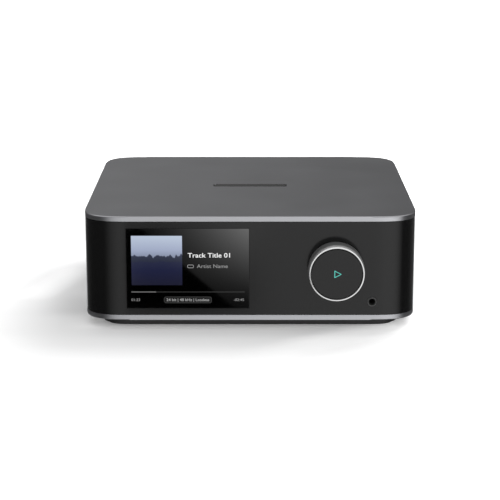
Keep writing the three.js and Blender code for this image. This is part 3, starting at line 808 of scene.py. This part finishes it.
def cover_art():
    """Abstract cover picture: a pale sky over dark ridges and a blue plain."""
    m = glow("cover_picture", WHITE, strength=0.95)
    g = Graph(m.node_tree)
    x, _, z = g.split(g.position())
    height = g.span(z, *(picture_z(h) for h in ART_SCALE))

    def wave(scale, amount, seed, detail):
        """Picture height less a noise that runs along X."""
        inputs = {"Scale": scale, "Detail": detail, "W": g.math("ADD", x, seed)}
        noise = g.node("TexNoise", inputs, noise_dimensions="1D").outputs["Fac"]
        return g.math("SUBTRACT", height, g.math("MULTIPLY", noise, amount))

    def ramp(*stops):
        """Colours up the picture, from (height, 8-bit colour) stops."""
        stops = [(at, tuple(srgb(v) for v in colour) + (1,)) for at, colour in stops]
        node = g.node("ValToRGB", {"Fac": height})
        ends = node.color_ramp.elements
        ends[0].position, ends[0].color = stops[0]
        ends[1].position, ends[1].color = stops[-1]
        for at, colour in stops[1:-1]:
            ends.new(at).color = colour
        return node.outputs["Color"]

    def below(value, level):
        return g.span(value, level + 0.006, level - 0.006)

    sky = ramp(
        (0.5, (122, 130, 156)), (0.58, (138, 147, 172)),
        (0.70, (163, 173, 199)), (1.0, (190, 202, 221)))
    ridges = ramp((0.40, (29, 34, 52)), (0.62, (54, 59, 80)))
    plain = ramp((0.0, (22, 23, 44)), (0.3, (25, 29, 60)), (0.5, (38, 42, 68)))
    ridge_line = below(wave(scale=420, amount=0.18, seed=3.0, detail=4), level=0.50)
    plain_line = below(wave(scale=160, amount=0.05, seed=9.0, detail=2), level=0.445)
    color = g.mix(g.mix(sky, ridges, ridge_line), plain, plain_line)
    g.fill(g.nodes["Principled BSDF"], {"Emission Color": color})
    return m


def build_picture():
    art = round_rect(ART_X, ART_Z, ART_SIZE, ART_SIZE, 0.25, 3)
    rest = round_rect(37.2, PROGRESS_Z, 69.0, 0.26, 0.12, 3)
    done_x = LEFT_EDGE + PROGRESS_DONE / 2
    done = round_rect(done_x, PROGRESS_Z, PROGRESS_DONE, 0.32, 0.15, 3)
    pill = round_rect(PILL_X, LABEL_Z, 28.9, 3.9, 1.25, 6)
    parts = [
        sheet("art", art, cover_art(), lift=0.005),
        sheet("line_rest", rest, M_DIM, lift=0.005),
        sheet("line_done", done, M_GREY, lift=0.02),
        sheet("pill", pill, M_PILL, lift=0.005),
        frame_line(
            "pill_edge", PILL_X, LABEL_Z, w=29.0, h=4.0, r=1.3, line=0.2, mat=M_DIM, lift=0.012),
        words(
            "title", "Track Title 01", 37.2, 32.95, size=4.0, mat=M_WHITE, width=25.6, bold=0.035),
        words("artist", "Artist Name", 42.7, ARTIST_Z, size=3.3, mat=M_GREY, width=18.8),
        frame_line(
            "note_icon", 38.9, ARTIST_Z, w=3.9, h=2.1, r=0.8, line=0.32, mat=M_SPEC, lift=0.005),
        words("elapsed", "01:23", LEFT_EDGE, LABEL_Z, size=2.3, mat=M_GREY, width=5.2),
        words(
            "remaining", "-02:45", 71.4, LABEL_Z, size=2.3, mat=M_GREY, width=6.2, align="RIGHT"),
        words(
            "spec", "24 bit | 48 kHz | Lossless", PILL_X, 5.12, size=2.35, mat=M_SPEC,
            width=26.0, align="CENTER", bold=0.03),
    ]
    place(join("display_picture", parts), "display_glass")


build_picture()

# ---------------------------------------------------------------- volume knob
M_SHOULDER = material(
    "knob_shoulder", grey(206), rough=0.5, metal=1.0, grain=2600,
    bump=0.08, bump_dist=0.008, rough_var=0.04, color_var=0.03, stretch=(1, 0.05, 1))
KNOB_SIDE, KNOB_CUT, KNOB_SHOULDER, KNOB_LIP = range(4)  # the knob's material slots
# radius and distance behind the knob's front in mm, then the slot of the edge that follows:
# the inner lip, a narrow bright flat cut and a satin shoulder that curves back to the side
KNOB_NOSE = (
    (15.5, 3.4, KNOB_SIDE), (15.5, 0.10, KNOB_LIP), (15.6, 0, KNOB_LIP), (15.88, 0, KNOB_CUT),
    (16.48, 0.03, KNOB_SHOULDER), (16.62, 0.22, KNOB_SHOULDER), (16.74, 0.62, KNOB_SHOULDER),
    (16.85, 1.3, KNOB_SHOULDER), (16.94, 2.4, KNOB_SHOULDER),
)
# radius and distance behind the knob's front in mm: the hollow behind and the hub
KNOB_HOLLOW = ((13.2, 6.0), (5.2, 6.0), (5.2, 9.5), (3.3, 9.5), (3.3, 3.4))


def build_knob():
    front, back = knob_lo.y, knob_hi.y
    profile = from_end([(r, d) for r, d, _ in KNOB_NOSE], front)
    profile += [
        (KNOB_RADIUS, front + 4.0 * MM),
        (KNOB_RADIUS, back - 0.6 * MM),
        (KNOB_RADIUS - 0.5 * MM, back),
        (13.2 * MM, back),
    ]
    profile += from_end(KNOB_HOLLOW, front)
    slots = [slot for _, _, slot in KNOB_NOSE]
    slots += [KNOB_SIDE] * (len(profile) - len(slots))
    mats = (M_KNOB, M_BEVEL, M_SHOULDER, M_FASCIA)
    knob = lathe("volume_knob_ring", KNOB_CENTRE, profile, 160, mats, slots, smooth_deg=20)
    place(weighted(knob), "dark_fascia", "volume_knob", "volume_knob")


build_knob()

# ---------------------------------------------------------------- play button
# (x, z) corners of the play triangle's centre line, in mm from the knob's centre
PLAY_TRIANGLE = ((-1.37, 2.12), (-1.37, -2.12), (2.6, 0.0))


def play_outline(scale, radius):
    """The play triangle scaled about its middle, with rounded corners. radius in millimetres."""
    cx, cz = (sum(p[i] for p in PLAY_TRIANGLE) / 3 for i in (0, 1))
    pts = [((cx + (x - cx) * scale) * MM, (cz + (z - cz) * scale) * MM) for x, z in PLAY_TRIANGLE]
    return [(KNOB_CENTRE[0] + x, KNOB_CENTRE[1] + z) for x, z in rounded(pts, radius * MM, 5)]


def build_button():
    """Flat disc with a lit outline triangle let into it."""
    r, front, back = (face_hi.x - face_lo.x) / 2 + 0.05 * MM, face_lo.y, face_hi.y
    chamfer = 0.1 * MM
    profile = [(0, back), (0, front), (r - chamfer, front), (r, front + chamfer), (r, back)]
    disc = lathe("button_disc", KNOB_CENTRE, profile, 128, (M_FASCIA,))
    tidy(disc.data, cap=True)
    clear = front - 1 * MM
    groove = prism("groove", play_outline(1.16, 0.26), clear, front + 0.12 * MM, "Y")
    island = prism("island", play_outline(0.79, 0.05), front - 2 * MM, front + 0.4 * MM, "Y")
    cut(groove, [island])
    cut(disc, [groove])
    ends = (front + 0.02 * MM, front + 0.10 * MM)
    symbol = prism("play_symbol", play_outline(1.14, 0.25), *ends, "Y")
    cut(symbol, [prism("core", play_outline(0.81, 0.05), clear, front + 1 * MM, "Y")])
    symbol.data.materials.append(M_ICON)
    place(weighted(disc), "dark_fascia", "play_button_face", "play_button")
    place(symbol, "light_guide", body="play_button")


build_button()

# ---------------------------------------------------------------- headphone socket bezel
M_BEZEL = material(
    "bezel", grey(62), rough=0.3, metal=0.5, grain=3000, bump=0.05, bump_dist=0.005)


def build_bezel():
    front, back, bore = bezel_lo.y, bezel_hi.y, 2.05 * MM
    profile = [
        (bore, front + 0.9 * MM), (2.15 * MM, front + 0.12 * MM), (2.35 * MM, front),
        (BEZEL_RADIUS - 0.1 * MM, front), (BEZEL_RADIUS, front + 0.12 * MM),
        (BEZEL_RADIUS, back), (bore, back),
    ]
    profile = rounded(profile, 0.05 * MM, 3)
    bezel = lathe("headphone_bezel", BEZEL_CENTRE, profile, 64, (M_BEZEL,), smooth_deg=40)
    place(weighted(bezel), "dark_fascia", "jack_bezel")


build_bezel()

# ---------------------------------------------------------------- plinth and foot
SLOT_X, SLOT_SIZE = 34 * MM, (36 * MM, 2.8 * MM)
SLOT_FIRST_Y, SLOT_PITCH, SLOT_ROWS = -34, 8, 7  # millimetres


def build_plinth():
    """Moulding under the case with a hollow, a groove for the foot, screw holes and slots."""
    low = plinth_lo.z
    plinth = prism("base_plinth_moulding", outline(10 * MM, 32), low, plinth_hi.z)
    hollow = prism("hollow", outline(22 * MM, 16), low - 1 * MM, 4.2 * MM)
    groove = prism("groove", outline(12 * MM, 24), low - 1 * MM, 2.4 * MM)
    cut(groove, [prism("core", outline(20 * MM, 16), low - 2 * MM, 5 * MM)])
    cutters = [hollow, groove]
    for k in range(1, 5):
        lo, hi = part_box(f"base_screw_{k}")
        hole = circle((lo.x + hi.x) / 2, (lo.y + hi.y) / 2, 1.8 * MM, 24)
        cutters.append(prism("hole", hole, 3 * MM, 8 * MM))
    for row in range(SLOT_ROWS):
        y = (SLOT_FIRST_Y + row * SLOT_PITCH) * MM
        for x in (-SLOT_X, SLOT_X):
            cutters.append(prism("slot", round_rect(x, y, *SLOT_SIZE, 1.3 * MM, 6), 0.0, 12 * MM))
    cut(plinth, cutters)
    bevel(plinth, 0.25 * MM)
    plinth.data.materials.append(M_PLINTH)
    place(weighted(plinth), "black_abs", "base_plinth")


def build_foot():
    low, high = foot_lo.z, foot_hi.z
    foot = prism("rubber_foot_ring", outline(12.25 * MM, 28), low, high)
    cut(foot, [prism("core", outline(19.75 * MM, 16), low - 1 * MM, high + 1 * MM)])
    foot.data.materials.append(M_RUBBER)
    bevel(foot, 0.35 * MM, 3)
    place(weighted(foot), "foot_rubber", "foot_ring")


build_plinth()
build_foot()

# ---------------------------------------------------------------- rear panel
M_PANEL = material(
    "panel_black", grey(33), rough=0.46, grain=2300, bump=0.35, bump_dist=0.03, rough_var=0.07)
M_SOCKET = material("socket_black", grey(24), rough=0.3, grain=1800, bump=0.12, rough_var=0.05)
M_TONGUE = material("tongue_blue", (0.012, 0.05, 0.22, 1), rough=0.35, grain=1500)
M_SCREW = material("screw_black", grey(52), rough=0.3, metal=1.0, grain=2400, bump_dist=0.01)
M_WINDOW_GREEN = material(
    "window_green", (0.02, 0.16, 0.05, 1), rough=0.25, grain=1500, bump=0.05,
    emission=(0.02, 0.5, 0.1, 1), strength=0.12)
M_WINDOW_AMBER = material(
    "window_amber", (0.25, 0.11, 0.01, 1), rough=0.25, grain=1500, bump=0.05,
    emission=(0.6, 0.25, 0.02, 1), strength=0.08)

# (x, z) of the screws, in mm
PANEL_SCREWS = ((80.0, 59.5), (80.0, 17.5), (30.0, 59.5), (-20.0, 59.5), (-61.0, 59.5), (-72.2, 15.6))
# (radius, distance out of the panel's face) of a screw head, in mm
SCREW_HEAD = ((0.0, -0.6), (1.9, -0.6), (2.0, 0.05), (1.5, 0.55), (0.0, 0.62))
SCREW_ROUNDING = [0, 0, 0.2 * MM, 0.3 * MM, 0]


def panel_screw(x, z):
    """Cross-head screw, sitting in the panel's face."""
    profile = rounded(from_end(SCREW_HEAD, PANEL_FACE), SCREW_ROUNDING, 3)
    head = lathe("screw", (x, z), profile, 28, (M_SCREW,))
    tidy(head.data)
    long, short = 2.2 * MM, 0.46 * MM
    ends = (PANEL_FACE + 0.1 * MM, PANEL_FACE + 2 * MM)
    bars = [
        prism("bar", round_rect(x, z, w, h, 0.1 * MM, 2), *ends, "Y")
        for w, h in ((long, short), (short, long))
    ]
    return cut(head, bars)


def build_rear_panel():
    parts = [refined("rear_panel", "panel", (M_PANEL,), 0.22)]
    parts += [panel_screw(x * MM, z * MM) for x, z in PANEL_SCREWS]
    place(join("rear_panel_moulding", parts, 32), "black_abs", "rear_panel")


build_rear_panel()

# ---------------------------------------------------------------- phono sockets
# (radius, y from the mouth) profiles, in mm
PHONO_SLEEVE = (
    (3.45, -13.8), (4.1, -13.8), (4.1, -7.8), (3.92, -7.5), (3.92, -6.9), (4.15, -6.6),
    (4.15, -0.35), (3.85, 0.0), (3.62, 0.0), (3.45, -0.25),
)
PHONO_INSULATOR = (
    (1.62, -13.8), (3.44, -13.8), (3.44, -0.55), (3.2, -0.35), (2.0, -0.35), (1.62, -0.7),
)
PHONO_CONTACT = ((1.15, -12.4), (1.6, -12.4), (1.6, -1.1), (1.45, -0.95), (1.15, -1.15))
# a disc closing the bottom of each contact's bore, in the near-black painted shade of the holes
PHONO_END = ((0.0, -12.6), (1.7, -12.6), (1.7, -11.8), (0.0, -11.9))
PHONO_HEIGHTS = (25.6 * MM, 9.1 * MM)  # the two sockets' axes above the block's underside


def phono_pair(node, colours):
    """Two phono sockets one over the other, on a black block. colours: upper, lower insulator."""
    lo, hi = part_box(node)
    cx, cz = centre_xz(lo, hi)
    pts = round_rect(cx, cz, hi.x - lo.x, hi.z - lo.z, 0.6 * MM, 3)
    block = prism("block", pts, lo.y, hi.y - 14.0 * MM, "Y", (M_BLACK,))
    parts = [bevel(block, 0.25 * MM)]
    for height, colour in zip(PHONO_HEIGHTS, colours):
        # profile, corner rounding in mm, facets, material
        turned = (
            (PHONO_SLEEVE, 0.08, 48, M_NICKEL),
            (PHONO_INSULATOR, 0.08, 40, M_INSULATOR[colour]),
            (PHONO_CONTACT, 0, 24, M_GOLD),
            (PHONO_END, 0, 20, M_HOLE_SHADE),
        )
        for profile, rounding, facets, mat in turned:
            profile = rounded(from_end(profile, hi.y), rounding * MM, 2)
            parts.append(lathe("turned", (cx, lo.z + height), profile, facets, (mat,)))
    place(join(node + "_sockets", parts, 34), "nickel", node)


phono_pair("rca_digital_sub_pair", ("orange", "black"))
for node in ("rca_line_out_pair", "rca_line_in_pair", "rca_phono_in_pair"):
    phono_pair(node, ("white", "red"))


# ---------------------------------------------------------------- socket cans
# Each region is (slot, half width, low, high, near, far), in mm. Heights are from the can's
# underside, near and far are depths behind its mouth. Faces in no region are plated steel.
NETWORK_REGIONS = ((1, 6.1, 2.1, 12.5, 0.35, 13.6),)
USB_REGIONS = ((2, 5.6, 3.8, 5.9, 1.5, 14.1), (1, 6.45, 0.85, 6.35, 6.0, math.inf))
AV_REGIONS = ((1, 5.5, 2.6, 4.0, 1.3, math.inf), (1, 6.95, 0.65, 5.55, 5.0, 11.5))


def socket_origin(node):
    """A socket's centre line in x, its mouth in y and its underside in z."""
    lo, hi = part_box(node)
    return (lo.x + hi.x) / 2, hi.y, lo.z


def socket_can(node, mats, width, regions):
    cx, mouth, under = socket_origin(node)

    def pick(p):
        side, depth, height = abs(p.x - cx) / MM, (mouth - p.y) / MM, (p.z - under) / MM
        for slot, half_width, low, high, near, far in regions:
            if side < half_width and low < height < high and near < depth < far:
                return slot
        return 0

    return refined(node, "can", mats, width, pick)


def socket_block(node, x, half_width, along, heights, mat, radius):
    """Small block in mm: x from the centre line, along (y) from the mouth, heights as above."""
    cx, mouth, under = socket_origin(node)
    low, high = heights
    size = (2 * half_width * MM, (high - low) * MM)
    pts = round_rect(cx + x * MM, under + (low + high) / 2 * MM, *size, radius * MM, 2)
    return prism("block", pts, mouth + along[0] * MM, mouth + along[1] * MM, "Y", (mat,))


def finish_can(node, parts):
    place(join(node + "_can", parts, 34), "plated_steel", node)


# (y from the mouth, height above the underside) along a network contact, in mm
NETWORK_CONTACT = ((-1.6, 2.3), (-2.6, 2.75), (-9.0, 4.6), (-12.9, 5.0))
NETWORK_CONTACTS, NETWORK_PITCH = 8, 1.02 * MM


def network_contact(x, mouth, under):
    """Bent rectangular wire along NETWORK_CONTACT."""
    half, thick = 0.19 * MM, 0.14 * MM
    section = ((-half, 0), (half, 0), (half, thick), (-half, thick))
    bm = bmesh.new()
    rings = [
        [bm.verts.new((x + a, mouth + y * MM, under + z * MM + b)) for a, b in section]
        for y, z in NETWORK_CONTACT
    ]
    for a, b in zip(rings, rings[1:]):
        for i in range(4):
            bm.faces.new((a[i], a[(i + 1) % 4], b[(i + 1) % 4], b[i]))
    bm.faces.new(rings[0])
    bm.faces.new(rings[-1][::-1])
    return new_object("contact", bm, (M_GOLD,))


def build_network_socket():
    node = "network_socket"
    cx, mouth, under = socket_origin(node)
    parts = [socket_can(node, (M_STEEL, M_SOCKET), 0.15, NETWORK_REGIONS)]
    for k in range(NETWORK_CONTACTS):
        x = cx + (k - (NETWORK_CONTACTS - 1) / 2) * NETWORK_PITCH
        parts.append(network_contact(x, mouth, under))
    for x, mat in ((-5.7, M_WINDOW_GREEN), (5.7, M_WINDOW_AMBER)):
        parts.append(socket_block(
            node, x, half_width=1.2, along=(-0.4, 0.05), heights=(11.0, 12.6), mat=mat, radius=0.25))
    finish_can(node, parts)


def build_flat_socket(node, mats, width, regions, count, pitch, **contact):
    """A can with a row of flat gold contacts."""
    parts = [socket_can(node, mats, width, regions)]
    for k in range(count):
        x = (k - (count - 1) / 2) * pitch
        parts.append(socket_block(node, x, mat=M_GOLD, **contact))
    finish_can(node, parts)


build_network_socket()
build_flat_socket(
    "usb_socket", (M_STEEL, M_SOCKET, M_TONGUE), 0.14, USB_REGIONS, count=4, pitch=2.4,
    half_width=0.5, along=(-9, -2.9), heights=(3.72, 3.92), radius=0.04)
build_flat_socket(
    "av_socket", (M_STEEL, M_SOCKET), 0.12, AV_REGIONS, count=9, pitch=1.0,
    half_width=0.22, along=(-8, -1.9), heights=(2.58, 2.72), radius=0.03)

# ---------------------------------------------------------------- trigger jack and plain pieces
# (radius, y from the mouth) of the ring round the jack's mouth, in mm
TRIGGER_RING = ((1.85, -0.5), (2.5, -0.5), (2.5, 0.12), (2.3, 0.25), (1.95, 0.25), (1.85, 0.1))


def build_trigger_jack():
    lo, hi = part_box("trigger_jack")
    body = refined("trigger_jack", "body", (M_SOCKET,), 0.15)
    profile = rounded(from_end(TRIGGER_RING, hi.y), 0.05 * MM, 2)
    ring = lathe("ring", centre_xz(lo, hi), profile, 40, (M_NICKEL,))
    place(join("trigger_jack_body", [body, ring], 34), "black_abs", "trigger_jack")


build_trigger_jack()

# node, material, bevel in mm, body, slot
for node, mat, width, body, slot in (
    ("mains_inlet", M_SOCKET, 0.3, "player", "black_abs"),
    ("optical_in_socket", M_SOCKET, 0.2, "player", "black_abs"),
    ("optical_out_socket", M_SOCKET, 0.2, "player", "black_abs"),
    ("ground_post", M_NICKEL, 0.12, "player", "nickel"),
    ("ground_washer", M_NICKEL, 0.1, "ground_washer", "nickel"),
    ("ground_nut", M_GOLD, 0.12, "ground_nut", "brass_plated"),
    ("bottom_plate", M_STEEL, 0.2, "player", "plated_steel"),
):
    place(weighted(refined(node, node + "_fine", (mat,), width)), slot, node, body)

# ---------------------------------------------------------------- floor
FLOOR_REACH = 3.0
# origins on the floor of two slanting bands of painted light: off the right front corner, and on the
# left
RIGHT_BAND = (0.0117, FRONT - 0.0408)
LEFT_BAND = (-0.1327, FRONT + 0.1206)


def floor_material():
    """White sweep whose emission paints soft light and shade round the case."""
    m, g = new_material("floor")
    surface = g.nodes["Principled BSDF"]
    matt = {"Roughness": 0.9, "Specular IOR Level": 0.0}
    g.fill(surface, {"Base Color": (0.83, 0.83, 0.83, 1), **matt})
    # painted fill light: weak near the object and rising to white further out, which paints shade round
    # the case
    where = g.position()
    distance = g.node("VectorMath", {0: where}, operation="LENGTH").outputs["Value"]
    painted_fill = g.span(distance, 0.24, 0.7, to_min=0.11, to_max=0.8, kind="SMOOTHSTEP")
    x, y, _ = g.split(where)

    def along(direction, origin):
        """Distance from origin along a direction on the floor."""
        (dx, dy), (ox, oy) = direction, origin
        return g.math("MULTIPLY_ADD", x, dx, g.math("MULTIPLY_ADD", y, dy, -(dx * ox + dy * oy)))

    # painted light under the case's front edge, and painted shade just ahead of it
    ahead = g.math("MULTIPLY_ADD", y, -1.0, FRONT + 0.010)
    across = g.band(x, -0.115, -0.085, 0.085, 0.115)
    under = g.math("MULTIPLY", across, g.math("SUBTRACT", 1.0, g.step(ahead, 0.001, 0.008)))
    past = g.math("MULTIPLY", across, g.band(ahead, 0.003, 0.010, 0.014, 0.032))
    # painted light: a slanting band off the right front corner, brighter towards its far end
    lengthwise = along((0.81, 0.585), RIGHT_BAND)
    crosswise = along((-0.585, 0.81), RIGHT_BAND)
    slant = g.math(
        "MULTIPLY",
        g.band(lengthwise, -0.03, 0.03, 0.085, 0.125),
        g.band(crosswise, -0.026, -0.007, -0.002, 0.017))
    gain = g.math("MULTIPLY_ADD", g.step(lengthwise, 0.07, 0.1), 0.11, 0.16)
    slant = g.math("MULTIPLY", slant, gain)
    # on the left: painted light in a band towards the back, painted shade beside the front corner, a
    # wide patch and a deeper one
    lengthwise = along((0.297, 0.955), LEFT_BAND)
    crosswise = along((0.955, -0.297), LEFT_BAND)
    left = g.math(
        "MULTIPLY",
        g.band(lengthwise, -0.06, -0.035, 0.015, 0.045),
        g.band(crosswise, -0.013, 0.002, 0.007, 0.022))
    deep = g.math(
        "MULTIPLY",
        g.band(x, -0.14, -0.115, -0.1, -0.08),
        g.band(y, FRONT + 0.025, FRONT + 0.045, FRONT + 0.06, FRONT + 0.09))
    wide = g.math(
        "MULTIPLY",
        g.band(x, -0.26, -0.18, -0.12, -0.09),
        g.band(y, FRONT - 0.025, FRONT, FRONT + 0.035, FRONT + 0.065))
    light = slant
    # positive gains paint light on the floor, negative ones paint shade
    for patch, gain in (
        (past, -0.08), (under, 0.045), (wide, -0.045), (deep, -0.07), (left, 0.15),
    ):
        light = g.math("MULTIPLY_ADD", patch, gain, light)
    total = g.math("MAXIMUM", g.math("ADD", painted_fill, light), 0.0)
    g.fill(surface, {"Emission Color": WHITE, "Emission Strength": total})
    return m


def build_floor():
    low, high = (-FLOOR_REACH, -FLOOR_REACH), (FLOOR_REACH, FLOOR_REACH)
    floor = grid("floor", 12, low, high, lambda x, y: (x, y, 0.0))
    floor.data.materials.append(floor_material())
    floor.location.z = -0.00002
    floor.visible_glossy = False


build_floor()


# ---------------------------------------------------------------- key light
def build_key_light():
    """Square light behind, above and to the right. Kept out of reflections, see the studio."""
    data = bpy.data.lights.new("key", "AREA")
    data.shape = "RECTANGLE"
    data.size = data.size_y = 0.95
    data.energy = 19.5
    data.color = (1, 1, 1)
    key = link("key", data)
    key.location = (0.58, 0.78, 0.95)
    aim = Vector((0.0, -0.02, 0.02)) - Vector(key.location)
    key.rotation_euler = aim.to_track_quat("-Z", "Y").to_euler()
    key.visible_glossy = False


build_key_light()

# ---------------------------------------------------------------- studio
# strengths of what metal and satin plastic mirror
FRONT_LIGHT, BACK_LIGHT, CEILING_LIGHT, SIDE_LIGHT = 1.60, 0.138, 1.15, 0.32
LOW_LIGHT, BASE_LIGHT = 0.42, 0.05
# strengths of the diffuse dome: above, below, and the gain towards the front
DOME, DOME_BELOW, FRONT_FILL = 0.66, 0.3, 2.6


def mirrored_tone(g, x, y, z):
    """A bright bay in front, a dimmer wall behind, a soft ceiling, dark sides."""
    # the bay sits a little to the right of straight ahead, and dims above and below
    leftward = g.math("MULTIPLY", g.math("MINIMUM", x, 0.0), 0.11)
    bay = g.math("MULTIPLY_ADD", x, 0.19, g.math("MULTIPLY_ADD", y, -0.982, leftward))
    above = g.math("MULTIPLY_ADD", g.step(z, 0.04, 0.22), -0.62, 1.0)
    reach = g.math("MULTIPLY", g.step(z, -0.62, -0.36), above)
    level = g.math("MULTIPLY_ADD", g.math("MINIMUM", x, 0.26), 1.15, FRONT_LIGHT)
    front = g.math("MULTIPLY", g.math("MULTIPLY", g.step(bay, 0.50, 0.95), reach), level)
    # the wall falls off to the right, darkens at the left corner, lifts past the right one
    slope = g.math("MAXIMUM", g.math("MULTIPLY_ADD", x, -4.5, 1.0), 0.23)
    slope = g.math("MINIMUM", slope, 1.8)
    left_corner = g.step(g.math("MULTIPLY", x, -1.0), 0.2, 0.45)
    slope = g.math("MULTIPLY", slope, g.math("MULTIPLY_ADD", left_corner, -0.85, 1.0))
    slope = g.math("ADD", slope, g.math("MULTIPLY", g.step(x, 0.25, 0.55), 0.45))
    back = g.math("MULTIPLY", g.step(y, 0.1, 0.75), g.math("MULTIPLY", slope, BACK_LIGHT))
    ceiling = g.math("MULTIPLY", g.step(z, 0.44, 0.85), CEILING_LIGHT)
    beside = g.step(g.math("ABSOLUTE", x), 0.35, 0.9)
    side = g.math("MULTIPLY", g.math("MULTIPLY", g.step(z, -0.2, 0.4), beside), SIDE_LIGHT)
    # light from below, except in front
    down = g.step(g.math("MULTIPLY", z, -1.0), 0.29, 0.46)
    low = g.math("MULTIPLY", g.math("MULTIPLY", down, g.step(y, -0.35, 0.1)), LOW_LIGHT)
    walls = g.math("ADD", g.math("MAXIMUM", front, 0.0), g.math("MAXIMUM", back, 0.0))
    rest = g.math("ADD", g.math("ADD", g.math("ADD", ceiling, side), low), BASE_LIGHT)
    return g.math("ADD", walls, rest)


def diffuse_dome(g, x, y, z):
    """Lights the rough surfaces: more from above, from the front and from the right."""
    dome = g.math("MULTIPLY_ADD", g.step(z, -0.3, 0.2), DOME - DOME_BELOW, DOME_BELOW)
    ahead = g.step(g.math("MULTIPLY", y, -1.0), 0.3, 0.9)
    dome = g.math("MULTIPLY", dome, g.math("MULTIPLY_ADD", ahead, FRONT_FILL, 1.0))
    return g.math("MULTIPLY", dome, g.math("MULTIPLY_ADD", x, 0.3, 1.0))


def build_studio():
    """Glossy rays see the mirrored tones, the camera sees white, the rest see the dome."""
    world = bpy.data.worlds.new("studio")
    scene.world = world
    world.use_nodes = True
    g = Graph(world.node_tree)
    g.nodes.clear()
    x, y, z = g.split(g.node("TexCoord").outputs["Generated"])

    def background(strength):
        return g.node("Background", {"Color": WHITE, "Strength": strength}).outputs[0]

    tone = background(mirrored_tone(g, x, y, z))
    dome = background(diffuse_dome(g, x, y, z))
    ray = g.node("LightPath").outputs
    lit = g.node("MixShader", {"Fac": ray["Is Glossy Ray"], 1: dome, 2: tone}).outputs[0]
    inputs = {"Fac": ray["Is Camera Ray"], 1: lit, 2: background(1.0)}
    g.node("OutputWorld", {"Surface": g.node("MixShader", inputs).outputs[0]})


build_studio()

# ---------------------------------------------------------------- glare card
CAMERA_DISTANCE, CAMERA_HEIGHT = 0.969, 0.28845
CARD_DISTANCE = 1.0  # from the glass towards the front
CARD_MARGIN = 4 * MM  # round the glass, measured on the glass
GLARE = 4.25


def on_card(x, z):
    """Where the camera sees the card mirrored at a point of the glass."""
    eye = Vector((0.0, glass_lo.y + CAMERA_DISTANCE, CAMERA_HEIGHT))  # the mirrored camera
    p = Vector((x, glass_lo.y, z))
    return p + (p - eye) * (CARD_DISTANCE / CAMERA_DISTANCE)


def glare_material():
    m, g = new_material("glare_card")
    g.nodes.clear()
    x, _, z = g.split(g.position())
    p0, p1 = on_card(glass_lo.x, glass_lo.z), on_card(glass_hi.x, glass_hi.z)
    # 0 to 1 across and up the glass
    u = g.span(x, p0.x, p1.x)
    v = g.span(z, p0.z, p1.z)
    # the slanting edge, from the top left down to the lower right:
    # v = 1.176 - 1.393 u + 0.058 u^2
    bend = g.math("SUBTRACT", g.math("MULTIPLY", u, 0.058), 1.393)
    line = g.math("ADD", g.math("MULTIPLY", u, bend), 1.176)
    edge = g.step(g.math("SUBTRACT", v, line), -0.012, 0.022)
    # brighter towards the upper right
    rise = g.math("POWER", g.span(v, -0.05, 1.05), 2.0)
    slide = g.math("POWER", g.span(u, 0.0, 1.05), 2.2)
    glare = g.math("MULTIPLY", g.math("MULTIPLY", rise, slide), GLARE)
    strength = g.math("MULTIPLY", edge, g.math("ADD", glare, GLARE * 0.018))
    emission = g.node("Emission", {"Strength": strength}).outputs[0]
    g.node("OutputMaterial", {"Surface": emission})
    return m


def build_glare_card():
    """Black card seen only in reflections, with a soft slanting light at its upper right."""
    a = on_card(glass_lo.x - CARD_MARGIN, glass_lo.z - CARD_MARGIN)
    b = on_card(glass_hi.x + CARD_MARGIN, glass_hi.z + CARD_MARGIN)
    card = grid("glare_card", 8, (a.x, a.z), (b.x, b.z), lambda x, z: (x, a.y, z))
    card.data.materials.append(glare_material())
    for ray in ("camera", "diffuse", "shadow", "transmission", "volume_scatter"):
        setattr(card, "visible_" + ray, False)


build_glare_card()


# ---------------------------------------------------------------- camera and output
def build_camera():
    data = bpy.data.cameras.new("camera")
    data.sensor_width, data.lens = 36.0, 118.94
    data.shift_x, data.shift_y = -0.0003, -0.0004
    data.clip_start, data.clip_end = 0.05, 50
    camera = link("camera", data)
    camera.location = (0.0, FRONT - CAMERA_DISTANCE, CAMERA_HEIGHT)
    camera.rotation_euler = (math.radians(90 - 13.8), 0, 0)  # tipped 13.8 degrees down
    scene.camera = camera


scene.view_settings.view_transform = "Standard"
scene.view_settings.look = "None"
build_camera()
